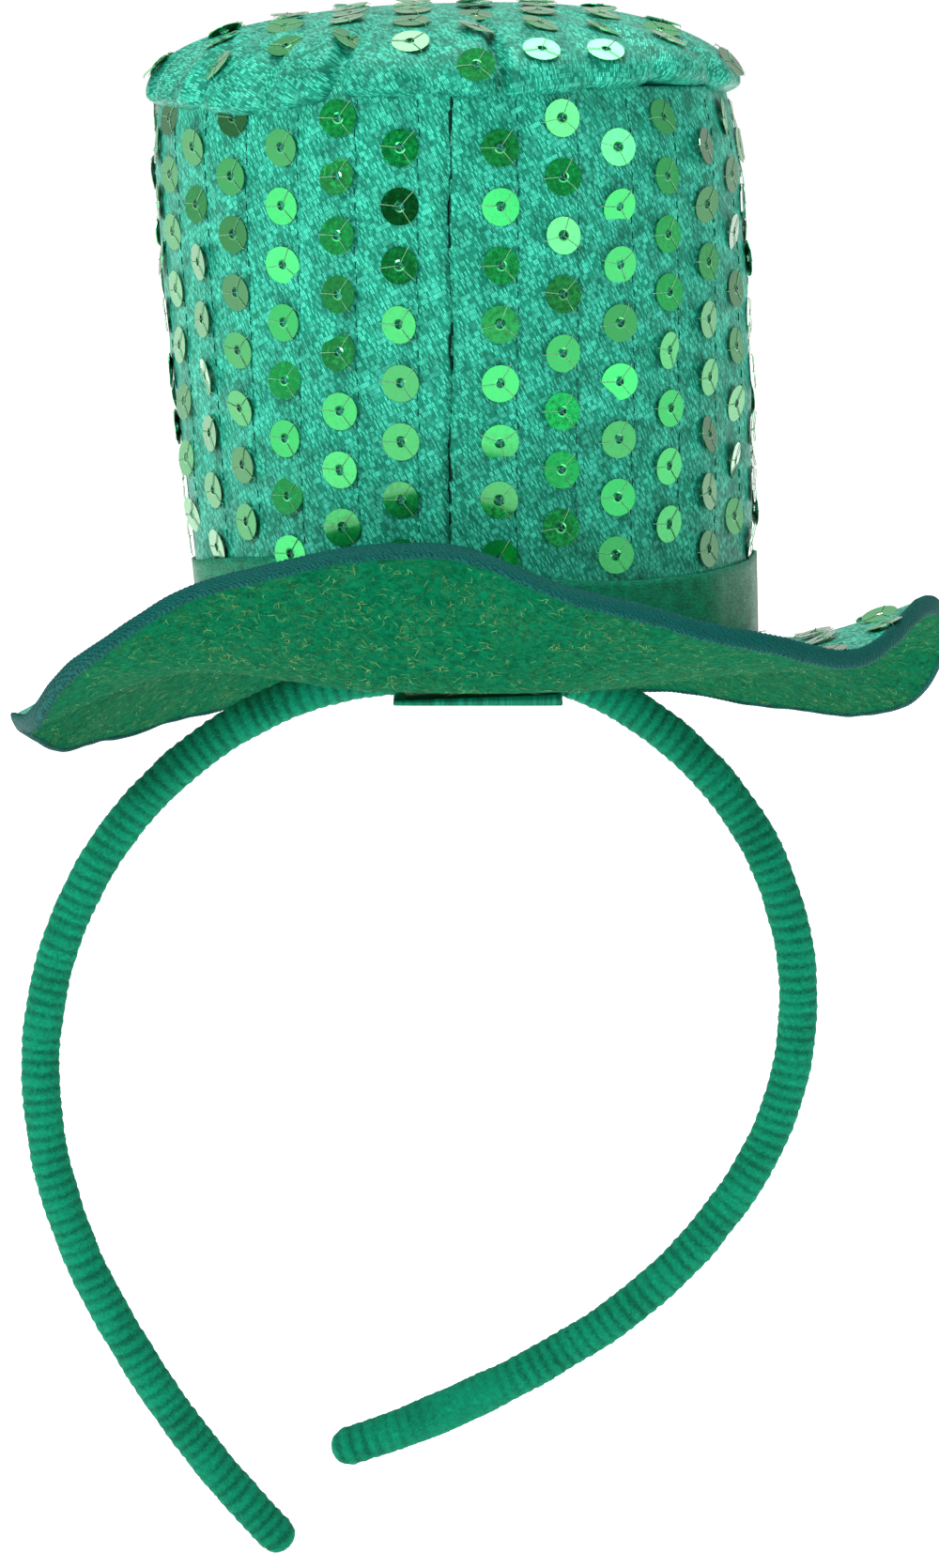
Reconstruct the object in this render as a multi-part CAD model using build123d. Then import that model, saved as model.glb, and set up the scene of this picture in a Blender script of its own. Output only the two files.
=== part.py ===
from build123d import *
import math
import os

# Miniature sequinned top hat on a plush-covered headband.
# Millimetres, +Z up along the hat, +X to the wearer's left as seen from the front, -Y to the front.
# The origin is the middle of the fixing patch's flat underside, which rests on the top of the head.

# ---------------------------------------------------------------- driving dimensions
crown_height = 91.0  # from the brim to the seam under the tip
crown_base_radius = 45.5
crown_belly_radius = 47.7  # widest, at belly_share of the height
crown_top_radius = 46.4
crown_lean = 5.6  # how far the top stands to -X of the base
belly_share = 0.75
satin_thickness = 0.4
interlining_thickness = 1.2
tip_puff = 14.0  # height of the padded tip above its seam
tip_overhang = 1.0
tip_hem_width = 8.0
wadding_gap = 0.3

brim_radius = 78.0  # cut radius of the flat brim, before it is bent
brim_flat_radius = 46.6  # the part under the crown that stays flat
felt_thickness = 2.0
brim_curl_power = 1.4  # 1 bends along a straight cone, more curls towards the rim
edge_thread_depth = 0.6  # how far the overlocked thread stands out from the cut edge
edge_thread_wrap = 0.25  # how far it wraps over each face
brim_satin_overlap = 5.0  # how far the satin runs in under the crown

ribbon_width = 13.5
ribbon_thickness = 0.5
ribbon_lap_length = 12.0
seam_drop = 4.4  # the front seam lies this far to -X of the axis
thread_diameter = 0.4
stitch_length = 2.2
stitch_pitch = 3.2

sequin_diameter = 6.0
sequin_hole = 1.4
sequin_thickness = 0.12
sequin_pitch = 9.2  # along a row
sequin_row_spacing = 10.1  # from row to row
sequin_seam_margin = 7.9  # from the front seam to the first row
sequin_clearance = 0.35  # lift off the crown's cloth
brim_sequin_clearance = 1.0  # lift off the brim, which is more curved

band_diameter = 6.5
core_diameter = 3.6
core_clearance = 0.05
core_end_margin = 4.0  # plush beyond the core at a tip
band_straight = 10.0  # straight half length under the hat
# Each leg is a chain of tangent arcs from the middle down to its tip: (radius, degrees).
left_arcs = [(57.3, 26.6), (67.8, 70.0), (84.9, 19.6), (172.1, 17.7)]
right_arcs = [(20.0, 24.0), (61.0, 30.1), (56.6, 66.9), (83.8, 26.1), (172.1, 15.0)]
left_flex_turn = 18.0  # a leg flexes this far round its second arc, in degrees
right_flex_turn = 19.0
flex_gap = 0.35  # clearance round the ball at a shoulder

patch_length = 28.0
patch_width = 22.0
patch_thickness = 0.5
patch_gap = 0.5  # from the patch up to the plush
glue_length = 24.0
glue_width = 11.0
glue_ring_width = 2.4
glue_ring_height = 1.6
fit = 0.1  # clearance between touching layers

# How high the rim stands over the flat brim, by bearing: 0 is +X, 90 the back, 270 the front.
rim_lift = [
    (0, 0.083), (15, -0.293), (40, -0.465), (65, -0.408), (90, -0.389), (120, -0.439), (150, -0.580),
    (165, -0.570), (185, -0.366), (200, -0.318), (215, 0.022), (230, 0.404), (250, 0.627), (265, 0.691),
    (284, 0.449), (300, 0.248), (320, 0.092), (340, 0.287),
]  # fmt: skip

# ---------------------------------------------------------------- derived places
band_radius = band_diameter / 2
band_axis_z = patch_thickness + patch_gap + band_radius
felt_under_z = band_axis_z + band_radius + fit
felt_over_z = felt_under_z + felt_thickness
crown_base_z = felt_over_z + fit + satin_thickness + fit
seam_z = crown_base_z + crown_height
brim_bend = brim_radius - brim_flat_radius
ring_shares = [0.0, 0.2, 0.4, 0.6, 0.8, 1.0]  # where the brim's rings stand across its bent width
ring_bearing_step = 12
slope_step = 0.5
ribbon_outer_gap = fit + ribbon_thickness

standing = (Align.CENTER, Align.CENTER, Align.MIN)

os.makedirs("parts", exist_ok=True)


def write(name, shape):
    """Writes one sub-part to its own STEP file."""
    export_step(shape, f"parts/{name}.step")


def group(solids):
    """Many separate solids as one compound."""
    return Compound(children=list(solids))


# ---------------------------------------------------------------- crown
def crown_stations():
    """Height, radius and middle of the crown where its wall changes slope."""
    belly = crown_height * belly_share
    middle = crown_height * belly_share / 2
    return [
        (0.0, crown_base_radius),
        (middle, (crown_base_radius + crown_belly_radius) / 2),
        (belly, crown_belly_radius),
        (crown_height, crown_top_radius),
    ]


def crown_radius(rise):
    """Outer radius of the satin at this height over the crown's base."""
    stations = crown_stations()
    for (low, low_r), (high, high_r) in zip(stations, stations[1:]):
        if rise <= high or high == crown_height:
            return low_r + (high_r - low_r) * (rise - low) / (high - low)


def crown_middle(rise):
    """X of the crown's axis at this height: it leans evenly to -X."""
    return -crown_lean * rise / crown_height


def crown_block(outset, low=0.0, high=None):
    """Solid inside the crown's wall, moved out by outset, between two heights over its base."""
    high = crown_height if high is None else high
    between = [rise for rise, _ in crown_stations() if low < rise < high]
    sections = []
    for rise in [low, *between, high]:
        place = Plane(origin=(crown_middle(rise), 0, crown_base_z + rise))
        sections.append(place * Circle(crown_radius(rise) + outset))
    return loft(sections, ruled=True)


def crown_tube(outer, inner, low=0.0, high=None):
    """Tube between two outsets of the crown's wall."""
    high = crown_height if high is None else high
    return crown_block(outer, low, high) - crown_block(inner, low, high)


def make_crown():
    inner_satin = -satin_thickness
    write("crown_side", crown_tube(0.0, inner_satin))
    inner_lining = inner_satin - fit - interlining_thickness
    lining_top = crown_height - fit
    write("crown_interlining", crown_tube(inner_satin - fit, inner_lining, 0.0, lining_top))
    glue_outer = crown_base_radius + inner_lining - fit
    bead = Cylinder(glue_outer, glue_ring_height, align=standing)
    bead -= Cylinder(glue_outer - glue_ring_width, glue_ring_height, align=standing)
    write("crown_glue_ring", Pos(0, 0, crown_base_z) * bead)


def dome(radius, height, base, drop=0.0):
    """Half an ellipsoid of revolution standing on the height base over the crown's top centre, without
    its lowest drop."""
    start = math.asin(drop / height)
    handle = 4 / 3 * math.tan((math.pi / 2 - start) / 4)  # a cubic's best handle for this much of an ellipse
    foot = (radius * math.cos(start), 0, drop)
    near_foot = (foot[0] - handle * radius * math.sin(start), 0, drop + handle * height * math.cos(start))
    near_top, top, middle = (handle * radius, 0, height), (0, 0, height), (0, 0, drop)
    arc = Bezier(foot, near_foot, near_top, top)
    profile = make_face([arc, Line(top, middle), Line(middle, foot)])
    return Pos(crown_middle(crown_height), 0, base) * revolve(profile, Axis.Z)


tip_radius = crown_top_radius + tip_overhang
tip_z = seam_z + fit  # underside of the tip's turned-in hem
hem_top_z = tip_z + satin_thickness
lining_disc_radius = tip_radius - satin_thickness - 1.5


def disc(radius, thickness, base):
    """Flat disc on the crown's top centre."""
    solid = Cylinder(radius, thickness, align=standing)
    return Pos(crown_middle(crown_height), 0, base) * solid


def make_tip():
    shell = dome(tip_radius, tip_puff, tip_z)
    shell -= dome(tip_radius - satin_thickness, tip_puff - 2 * satin_thickness, hem_top_z)
    shell -= disc(tip_radius - tip_hem_width, satin_thickness, tip_z)
    write("crown_tip", shell)
    lining_z = hem_top_z + fit
    write("tip_interlining", disc(lining_disc_radius, interlining_thickness, lining_z))
    wad_z = lining_z + interlining_thickness + wadding_gap
    wad_drop = wad_z - hem_top_z
    inset = satin_thickness + wadding_gap
    wad_puff = tip_puff - 2 * satin_thickness - wadding_gap
    write("tip_wadding", dome(tip_radius - inset, wad_puff, hem_top_z, wad_drop))


def make_seams():
    """Stitches of the upright front seam, and the sewn ring where the tip joins the side."""
    stitches = []
    rise = ribbon_width + stitch_pitch
    while rise < crown_height - stitch_pitch:
        side = -seam_drop - crown_middle(rise)
        front = math.sqrt(crown_radius(rise) ** 2 - side**2) + fit + thread_diameter
        thread = Cylinder(thread_diameter / 2, stitch_length)
        stitches.append(Pos(-seam_drop, -front, crown_base_z + rise) * thread)
        rise += stitch_pitch
    write("crown_seam_thread", group(stitches))
    bead = thread_diameter / 2
    sewn = Torus(crown_radius(crown_height - bead) + fit + bead, bead)
    drop = crown_height - bead - fit
    write("tip_seam_thread", Pos(crown_middle(drop), 0, crown_base_z + drop) * sewn)


def make_ribbon():
    """Satin ribbon round the foot of the crown, with its end lapped at the back."""
    band = crown_tube(ribbon_outer_gap, fit, 0.0, ribbon_width)
    lap = crown_tube(ribbon_outer_gap + ribbon_thickness, ribbon_outer_gap, 0.0, ribbon_width)
    behind = Box(ribbon_lap_length, brim_radius, ribbon_width, align=(Align.CENTER, Align.MIN, Align.MIN))
    lap &= Pos(0, 0, crown_base_z) * behind
    write("hat_ribbon", band + lap)


# ---------------------------------------------------------------- brim
def lift_at(bearing):
    """Smooth closed curve through rim_lift (Catmull-Rom between the bearings)."""
    bearing %= 360
    count = len(rim_lift)
    after = next((i for i, (at, _) in enumerate(rim_lift) if at > bearing), count)
    near = [rim_lift[(after + k) % count] for k in (-2, -1, 0, 1)]
    start, end = near[1][0], near[2][0]
    share = ((bearing - start) % 360) / ((end - start) % 360)
    a, b, c, d = (lift for _, lift in near)
    bend = (2 * a - 5 * b + 4 * c - d) * share**2 + (3 * b - a - 3 * c + d) * share**3
    return brim_bend * (b + 0.5 * ((c - a) * share + bend))


def rim_reach(bearing):
    """Plan radius of the rim: bending up or down draws it in."""
    return brim_flat_radius + math.sqrt(brim_bend**2 - lift_at(bearing) ** 2)


def brim_height(x, y):
    """Height of the felt's underside over its flat part."""
    out = math.hypot(x, y) - brim_flat_radius
    if out <= 0:
        return 0.0
    bearing = math.degrees(math.atan2(y, x))
    share = out / (rim_reach(bearing) - brim_flat_radius)
    return lift_at(bearing) * min(share, 1.12) ** brim_curl_power


def brim_slope(x, y):
    """Slopes of the brim along X and Y."""
    along_x = (brim_height(x + slope_step, y) - brim_height(x - slope_step, y)) / (2 * slope_step)
    along_y = (brim_height(x, y + slope_step) - brim_height(x, y - slope_step)) / (2 * slope_step)
    return along_x, along_y


def ring(share, offset, out=0.0):
    """Closed curve round the brim at this share of its bent width, square to the cloth by offset
    and further out along it by out."""
    points = []
    for bearing in range(0, 360, ring_bearing_step):
        turn = math.radians(bearing)
        reach = brim_flat_radius + (rim_reach(bearing) - brim_flat_radius) * share
        x, y = reach * math.cos(turn), reach * math.sin(turn)
        inner = reach - slope_step
        before = brim_height(inner * math.cos(turn), inner * math.sin(turn))
        climb = (brim_height(x, y) - before) / slope_step if share else 0.0
        steep = math.hypot(1, climb)
        reach += (out - offset * climb) / steep
        height = felt_under_z + brim_height(x, y) + (out * climb + offset) / steep
        points.append((reach * math.cos(turn), reach * math.sin(turn), height))
    return Wire([Spline(points, periodic=True)])


def brim_layer(low, high):
    """The whole brim between two offsets of its underside, as a ruled solid through its rings."""
    under = [ring(share, low) for share in ring_shares]
    over = [ring(share, high) for share in reversed(ring_shares)]
    return Solid.make_loft([*under, *over], True)


satin_low = felt_thickness + fit
satin_high = satin_low + satin_thickness


def make_brim():
    write("brim_felt", brim_layer(0.0, felt_thickness))
    hole = Cylinder(crown_base_radius - brim_satin_overlap, brim_radius)
    write("brim_satin", brim_layer(satin_low, satin_high) - hole)
    low, high = -edge_thread_wrap, satin_high + edge_thread_wrap
    corners = [(low, fit), (high, fit), (high, edge_thread_depth), (low, edge_thread_depth)]
    edges = [ring(1.0, offset, out).edge() for offset, out in corners]
    sides = zip(edges, edges[1:] + edges[:1])
    faces = [Face.make_surface_from_curves(first, second) for first, second in sides]
    write("brim_edge_thread", Solid(Shell(faces)))


# ---------------------------------------------------------------- sequins
def sequin():
    """One flat sequin with its sewing hole."""
    return Cylinder(sequin_diameter / 2, sequin_thickness) - Cylinder(sequin_hole / 2, 1.0)


def laid(base, normal, along, clearance=sequin_clearance):
    """Place of a sequin at base, lifted off the cloth along its normal."""
    normal = normal.normalized()
    place = base + normal * (clearance + sequin_thickness / 2)
    return Plane(origin=place, x_dir=along, z_dir=normal).location


def make_side_sequins(piece):
    """Upright rows beside the seam and round the crown, each half a pitch off its neighbours."""
    low = ribbon_width + sequin_diameter / 2 + 0.5
    high = crown_height - sequin_diameter / 2 - 0.5
    around = 2 * math.pi * crown_belly_radius
    rows = int((around - 2 * sequin_seam_margin) / sequin_row_spacing) + 1
    spread = (around - 2 * sequin_seam_margin) / (rows - 1)
    pieces = []
    for row in range(rows):
        rise = low + (row % 2) * sequin_pitch / 2
        while rise <= high:
            radius, middle = crown_radius(rise), crown_middle(rise)
            seam = math.asin((-seam_drop - middle) / radius)
            turn = seam - math.pi / 2 + (sequin_seam_margin + row * spread) / crown_belly_radius
            growth = (crown_radius(rise + 0.5) - crown_radius(rise - 0.5)) * math.cos(turn)
            swell = (crown_radius(rise + 0.5) - crown_radius(rise - 0.5)) * math.sin(turn)
            up = Vector(growth - crown_lean / crown_height, swell, 1)
            along = Vector(-math.sin(turn), math.cos(turn), 0)
            x, y = middle + radius * math.cos(turn), radius * math.sin(turn)
            base = Vector(x, y, crown_base_z + rise)
            pieces.append(piece.moved(laid(base, along.cross(up), along)))
            rise += sequin_pitch
    write("sequins_side", group(pieces))


def flat_rows(reach):
    """Plan places of staggered straight rows that cover a disc of this radius."""
    count = int(reach / sequin_row_spacing) + 1
    for row in range(-count, count + 1):
        shift = (row % 2) * sequin_pitch / 2
        steps = int(reach / sequin_pitch) + 1
        for step in range(-steps, steps + 1):
            yield (row + 0.5) * sequin_row_spacing, step * sequin_pitch + shift


def make_tip_sequins(piece):
    reach = tip_radius - sequin_diameter
    pieces = []
    for x, y in flat_rows(reach):
        out = math.hypot(x, y)
        if out > reach:
            continue
        rise = tip_puff * math.sqrt(1 - (out / tip_radius) ** 2)
        normal = Vector(x / tip_radius**2, y / tip_radius**2, rise / tip_puff**2)
        base = Vector(crown_middle(crown_height) + x, y, tip_z + rise)
        along = Vector(0, 1, 0).cross(normal).normalized()
        pieces.append(piece.moved(laid(base, normal, along)))
    write("sequins_tip", group(pieces))


def make_brim_sequins(piece):
    inner = crown_base_radius + ribbon_outer_gap + ribbon_thickness + sequin_diameter / 2 + 1.5
    pieces = []
    for x, y in flat_rows(brim_radius):
        out, bearing = math.hypot(x, y), math.degrees(math.atan2(y, x))
        if not inner < out < rim_reach(bearing) - sequin_diameter / 2 - 0.5:
            continue
        slope_x, slope_y = brim_slope(x, y)
        normal = Vector(-slope_x, -slope_y, 1).normalized()
        base = Vector(x, y, felt_under_z + brim_height(x, y)) + normal * satin_high
        along = Vector(0, 1, 0).cross(normal).normalized()
        pieces.append(piece.moved(laid(base, normal, along, brim_sequin_clearance)))
    write("sequins_brim", group(pieces))


# ---------------------------------------------------------------- headband
def chain(side, start, heading, arcs):
    """Tangent arcs in the upright plane, bending down and inwards. Side is +1 or -1 along X."""
    edges = []
    x, z = start
    for radius, sweep in arcs:
        turn = math.radians(sweep)

        def at(share):
            angle = heading + turn * share
            return (
                x + side * radius * (math.sin(angle) - math.sin(heading)),
                0,
                z + radius * (math.cos(angle) - math.cos(heading)),
            )

        edges.append(ThreePointArc(at(0.0), at(0.5), at(1.0)))
        x, _, z = at(1.0)
        heading += turn
    return edges, (x, z), heading


def tube(edges, diameter):
    """Round bar along a chain of edges."""
    path = Wire(edges)
    section = Plane(origin=path @ 0, z_dir=path % 0) * Circle(diameter / 2)
    return sweep(section, path=path)


def shorter(arcs, trim):
    """The chain with its last arc cut short by a length."""
    radius, sweep = arcs[-1]
    return [*arcs[:-1], (radius, sweep - math.degrees(trim / radius))]


def later(arcs, trim):
    """The chain with its first arc started later by a length, and the angle skipped."""
    radius, sweep = arcs[0]
    skipped = trim / radius
    return [(radius, sweep - math.degrees(skipped)), *arcs[1:]], skipped


def split_at_flex(arcs, flex_turn):
    """The arcs over the head as far as the flexing point, and those of the leg beyond it."""
    radius, sweep = arcs[1]
    return [arcs[0], (radius, flex_turn)], [(radius, sweep - flex_turn), *arcs[2:]]


left_shoulder, left_leg = split_at_flex(left_arcs, left_flex_turn)
right_shoulder, right_leg = split_at_flex(right_arcs, right_flex_turn)


def make_leg(name, side, shoulder, leg):
    """Plush sleeve and core of one leg, from the ball in its shoulder to its rounded tip."""
    origin = (side * band_straight, band_axis_z)
    _, pivot, heading = chain(side, origin, 0.0, shoulder)
    edges, tip, _ = chain(side, pivot, heading, leg)
    sleeve = tube(edges, band_diameter)
    sleeve += Pos(pivot[0], 0, pivot[1]) * Sphere(band_radius)
    sleeve += Pos(tip[0], 0, tip[1]) * Sphere(band_radius)
    core_arcs, skipped = later(shorter(leg, core_end_margin), core_end_margin / 2)
    first_radius = leg[0][0]
    core_start = (
        pivot[0] + side * first_radius * (math.sin(heading + skipped) - math.sin(heading)),
        pivot[1] + first_radius * (math.cos(heading + skipped) - math.cos(heading)),
    )
    core_edges, _, _ = chain(side, core_start, heading + skipped, core_arcs)
    write(f"band_core_{name}", tube(core_edges, core_diameter))
    write(f"band_cover_{name}", sleeve - tube(core_edges, core_diameter + 2 * core_clearance))
    length = sum(radius * math.radians(sweep) for radius, sweep in leg)
    print(f"{name} pivot {pivot[0]:.2f} {pivot[1]:.2f}, tip {tip[0]:.1f} {tip[1]:.1f}, leg {length:.1f}")
    return pivot


def middle_path(left_arcs, right_arcs):
    """Edges over the head from the left shoulder to the right one."""
    left, _, _ = chain(-1, (-band_straight, band_axis_z), 0.0, left_arcs)
    right, _, _ = chain(1, (band_straight, band_axis_z), 0.0, right_arcs)
    run = Line((-band_straight, 0, band_axis_z), (band_straight, 0, band_axis_z))
    return [*left, run, *right]


def make_band():
    pivots = [make_leg("left", -1, left_shoulder, left_leg)]
    pivots.append(make_leg("right", 1, right_shoulder, right_leg))
    sleeve = tube(middle_path(left_shoulder, right_shoulder), band_diameter)
    for x, z in pivots:
        sleeve -= Pos(x, 0, z) * Sphere(band_radius + flex_gap)
    stop = band_radius + flex_gap + core_end_margin / 2
    core_path = middle_path(shorter(left_shoulder, stop), shorter(right_shoulder, stop))
    write("band_core_centre", tube(core_path, core_diameter))
    write("band_cover_centre", sleeve - tube(core_path, core_diameter + 2 * core_clearance))


def make_fixing():
    """Patch glued across under the band, and the glue that beds the band against the felt."""
    patch = Box(patch_length, patch_width, patch_thickness, align=standing)
    write("fixing_patch", patch)
    glue_low = patch_thickness + fit
    glue_height = felt_under_z - fit - glue_low
    glue = Box(glue_length, glue_width, glue_height, align=standing)
    round_band = tube(middle_path(left_shoulder[:1], right_shoulder[:1]), band_diameter + 2 * fit)
    write("glue_bed", Pos(0, 0, glue_low) * glue - round_band)


make_crown()
make_tip()
make_seams()
make_ribbon()
make_brim()
one_sequin = sequin()
make_side_sequins(one_sequin)
make_tip_sequins(one_sequin)
make_brim_sequins(one_sequin)
make_band()
make_fixing()
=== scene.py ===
import math

import bpy
import numpy as np
from bpy.props import FloatProperty, FloatVectorProperty, IntProperty, PointerProperty
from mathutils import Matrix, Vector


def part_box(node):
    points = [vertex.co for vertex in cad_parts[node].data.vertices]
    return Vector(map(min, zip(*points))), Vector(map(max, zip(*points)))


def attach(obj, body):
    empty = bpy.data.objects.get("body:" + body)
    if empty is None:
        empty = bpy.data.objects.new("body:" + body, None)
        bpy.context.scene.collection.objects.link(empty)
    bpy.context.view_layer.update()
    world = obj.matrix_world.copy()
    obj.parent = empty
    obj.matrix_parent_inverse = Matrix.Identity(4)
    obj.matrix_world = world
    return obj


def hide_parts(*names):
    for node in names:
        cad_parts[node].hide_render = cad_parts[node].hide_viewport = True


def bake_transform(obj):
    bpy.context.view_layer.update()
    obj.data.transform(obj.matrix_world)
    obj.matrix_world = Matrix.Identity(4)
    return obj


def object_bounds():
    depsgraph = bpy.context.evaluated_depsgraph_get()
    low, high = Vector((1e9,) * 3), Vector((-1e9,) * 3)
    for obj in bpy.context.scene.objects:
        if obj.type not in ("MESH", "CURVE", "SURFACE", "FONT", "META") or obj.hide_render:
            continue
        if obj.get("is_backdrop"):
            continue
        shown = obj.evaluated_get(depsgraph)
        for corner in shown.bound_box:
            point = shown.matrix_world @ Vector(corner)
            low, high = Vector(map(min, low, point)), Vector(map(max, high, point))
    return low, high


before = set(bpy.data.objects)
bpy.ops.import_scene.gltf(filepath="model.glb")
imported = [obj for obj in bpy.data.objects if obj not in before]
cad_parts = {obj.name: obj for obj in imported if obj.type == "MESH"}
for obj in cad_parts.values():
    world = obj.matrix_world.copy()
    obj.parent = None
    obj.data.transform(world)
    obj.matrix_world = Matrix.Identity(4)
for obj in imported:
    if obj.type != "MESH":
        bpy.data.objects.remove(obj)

bl_info = {
    "name": "Sequinned Mini Top Hat",
    "version": (1, 0, 0),
    "blender": (4, 5, 0),
    "location": "View3D > Sidebar > Hat",
    "description": "Dresses a miniature top hat on a headband in satin, felt, sequins and plush",
    "category": "Object",
}

MM = 0.001
FULL = 2 * math.pi
FRONT = 1.5 * math.pi


# ---------------------------------------------------------------- places read from the frame
def middle_of(node):
    """Middle of a CAD node's box."""
    low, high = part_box(node)
    return (np.array(low) + np.array(high)) / 2


CROWN_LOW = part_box("crown_side")[0][2]
CROWN_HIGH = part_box("crown_side")[1][2]
CROWN_RISE = CROWN_HIGH - CROWN_LOW
CROWN_LEAN = middle_of("tip_seam_thread")[0] - middle_of("crown_glue_ring")[0]
TIP_RADIUS = (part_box("crown_tip")[1][0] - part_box("crown_tip")[0][0]) / 2
TIP_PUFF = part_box("crown_tip")[1][2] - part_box("crown_tip")[0][2]
FELT_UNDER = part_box("glue_bed")[1][2] + 0.1 * MM
BAND_RADIUS = (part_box("band_cover_left")[1][1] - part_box("band_cover_left")[0][1]) / 2
BAND_AXIS = FELT_UNDER - BAND_RADIUS - 0.1 * MM
PATCH_LOW, PATCH_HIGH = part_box("fixing_patch")


def metres(name, description, default):
    """A length property, in metres."""
    return FloatProperty(name=name, description=description, default=default, unit="LENGTH", precision=5)


def colour(name, description, default):
    """A colour property."""
    return FloatVectorProperty(
        name=name, description=description, default=default, subtype="COLOR", size=3, min=0, max=1
    )


class HatSizes(bpy.types.PropertyGroup):
    """Sizes of the hat's trimmings"""

    crown_base_radius: metres("Crown base radius", "Satin's radius at the brim", 45.5 * MM)
    crown_belly_radius: metres("Crown belly radius", "Satin's widest radius", 47.8 * MM)
    crown_top_radius: metres("Crown top radius", "Satin's radius under the tip", 46.2 * MM)
    seam_drop: metres("Seam offset", "How far the front seam lies to -X of the base's middle", 4.4 * MM)
    seam_margin: metres("Seam margin", "From the front seam to the first row of sequins", 7.9 * MM)
    ribbon_width: metres("Ribbon width", "Width of the satin ribbon", 13.5 * MM)
    brim_radius: metres("Brim radius", "Cut radius of the brim before it is bent", 78.0 * MM)
    brim_flat: metres("Flat radius", "Radius of the brim's flat part under the crown", 46.6 * MM)
    felt_thickness: metres("Felt thickness", "Thickness of the brim's felt", 2.0 * MM)
    satin_thickness: metres("Satin thickness", "Thickness of the brim's satin", 0.4 * MM)
    sequin_diameter: metres("Sequin diameter", "Outer diameter of a sequin", 6.0 * MM)
    sequin_hole: metres("Sequin hole", "Diameter of a sequin's sewing hole", 1.35 * MM)
    sequin_pitch: metres("Sequin pitch", "From sequin to sequin along a row", 9.2 * MM)
    row_spacing: metres("Row spacing", "From row to row of sequins", 10.1 * MM)
    rib_pitch: metres("Rib pitch", "From rib to rib of the plush", 2.05 * MM)
    rib_depth: metres("Rib depth", "How far a rib stands over its groove", 0.15 * MM)
    overlock_pitch: metres("Overlock pitch", "From strand to strand of the edge thread", 0.95 * MM)
    seed: IntProperty(name="Seed", description="Starts every random draw", default=7, min=0)


class HatColours(bpy.types.PropertyGroup):
    """Colours of the hat's cloths and trimmings"""

    satin: colour("Satin", "Satin in even light", (0.004, 0.21, 0.13))
    satin_glint: colour("Satin glint", "Satin threads that catch the light", (0.07, 0.62, 0.45))
    satin_shade: colour("Satin shade", "Satin threads that lie in shade", (0.0, 0.06, 0.035))
    felt: colour("Felt", "Body of the felt", (0.0, 0.135, 0.055))
    # Painted shade in the felt's hollows.
    felt_hollow_shade: colour("Felt hollows", "Darker patches of the felt", (0.0, 0.06, 0.024))
    fibre: colour("Stray fibre", "Pale fibres in the felt", (0.13, 0.27, 0.07))
    ribbon: colour("Ribbon", "Ribbon in even light", (0.0, 0.15, 0.075))
    thread: colour("Edge thread", "Overlocked thread round the brim", (0.0, 0.085, 0.075))
    # Seam thread; in the front seam its wide dashes also stand for painted shade in the gap.
    seam: colour("Seam thread", "Dark stitches in the satin", (0.0, 0.045, 0.03))
    sequin: colour("Sequin", "Metallised film of the sequins", (0.0, 0.46, 0.09))
    # Painted dim reflection of sequins that face away from the light.
    sequin_dim_reflection: colour("Sequin dim reflection", "Painted dim reflection of sequins turned from the light", (0.0, 0.13, 0.02))
    plush: colour("Plush", "Velvet of the headband", (0.0, 0.26, 0.135))
    # Painted shade in the plush's grooves.
    plush_groove_shade: colour("Plush grooves", "Velvet in the grooves", (0.0, 0.085, 0.042))


def sizes():
    """The hat's sizes, as the scene holds them."""
    return bpy.context.scene.hat_sizes


def colours():
    """The hat's colours, as the scene holds them."""
    return bpy.context.scene.hat_colours


# ---------------------------------------------------------------- mesh helpers
def curve_through(knots, values, at, period=None):
    """Smooth curve through (knot, value) pairs: a cubic Hermite whose slope at each knot is that of
    the line between its two neighbours."""
    knots, values, at = np.asarray(knots, float), np.asarray(values, float), np.asarray(at, float)
    if period:
        at = (at - knots[0]) % period + knots[0]
        knots = np.r_[knots[-1] - period, knots, knots[:2] + period]
        values = np.r_[values[-1], values, values[:2]]
    slopes = np.gradient(values, knots)
    i = np.clip(np.searchsorted(knots, at, side="right") - 1, 0, len(knots) - 2)
    width = knots[i + 1] - knots[i]
    t = (at - knots[i]) / width
    a = (1 + 2 * t) * (1 - t) ** 2 * values[i] + t * t * (3 - 2 * t) * values[i + 1]
    return a + width * (t * (1 - t) ** 2 * slopes[i] + t * t * (t - 1) * slopes[i + 1])


def make_mesh(name, points, faces, uv=None, shade=None, smooth=True):
    """Piece from vertex places, quads or triangles, an optional UV per face corner in centimetres
    and an optional grey value per vertex, all as whole arrays."""
    points, faces = np.asarray(points, np.float32).reshape(-1, 3), np.asarray(faces, np.int32)
    mesh = bpy.data.meshes.new(name)
    mesh.vertices.add(len(points))
    mesh.vertices.foreach_set("co", points.ravel())
    mesh.loops.add(faces.size)
    mesh.loops.foreach_set("vertex_index", faces.ravel())
    mesh.polygons.add(len(faces))
    mesh.polygons.foreach_set("loop_start", np.arange(len(faces), dtype=np.int32) * faces.shape[1])
    mesh.update(calc_edges=True)
    mesh.polygons.foreach_set("use_smooth", np.full(len(faces), smooth))
    if uv is not None:
        layer = mesh.uv_layers.new(name="Cloth")
        layer.data.foreach_set("uv", (np.asarray(uv, np.float32) / 0.01).ravel())
    if shade is not None:
        layer = mesh.attributes.new("shade", "FLOAT", "POINT")
        layer.data.foreach_set("value", np.asarray(shade, np.float32).ravel())
    mesh.validate()
    piece = bpy.data.objects.new(name, mesh)
    bpy.context.scene.collection.objects.link(piece)
    return piece


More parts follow.
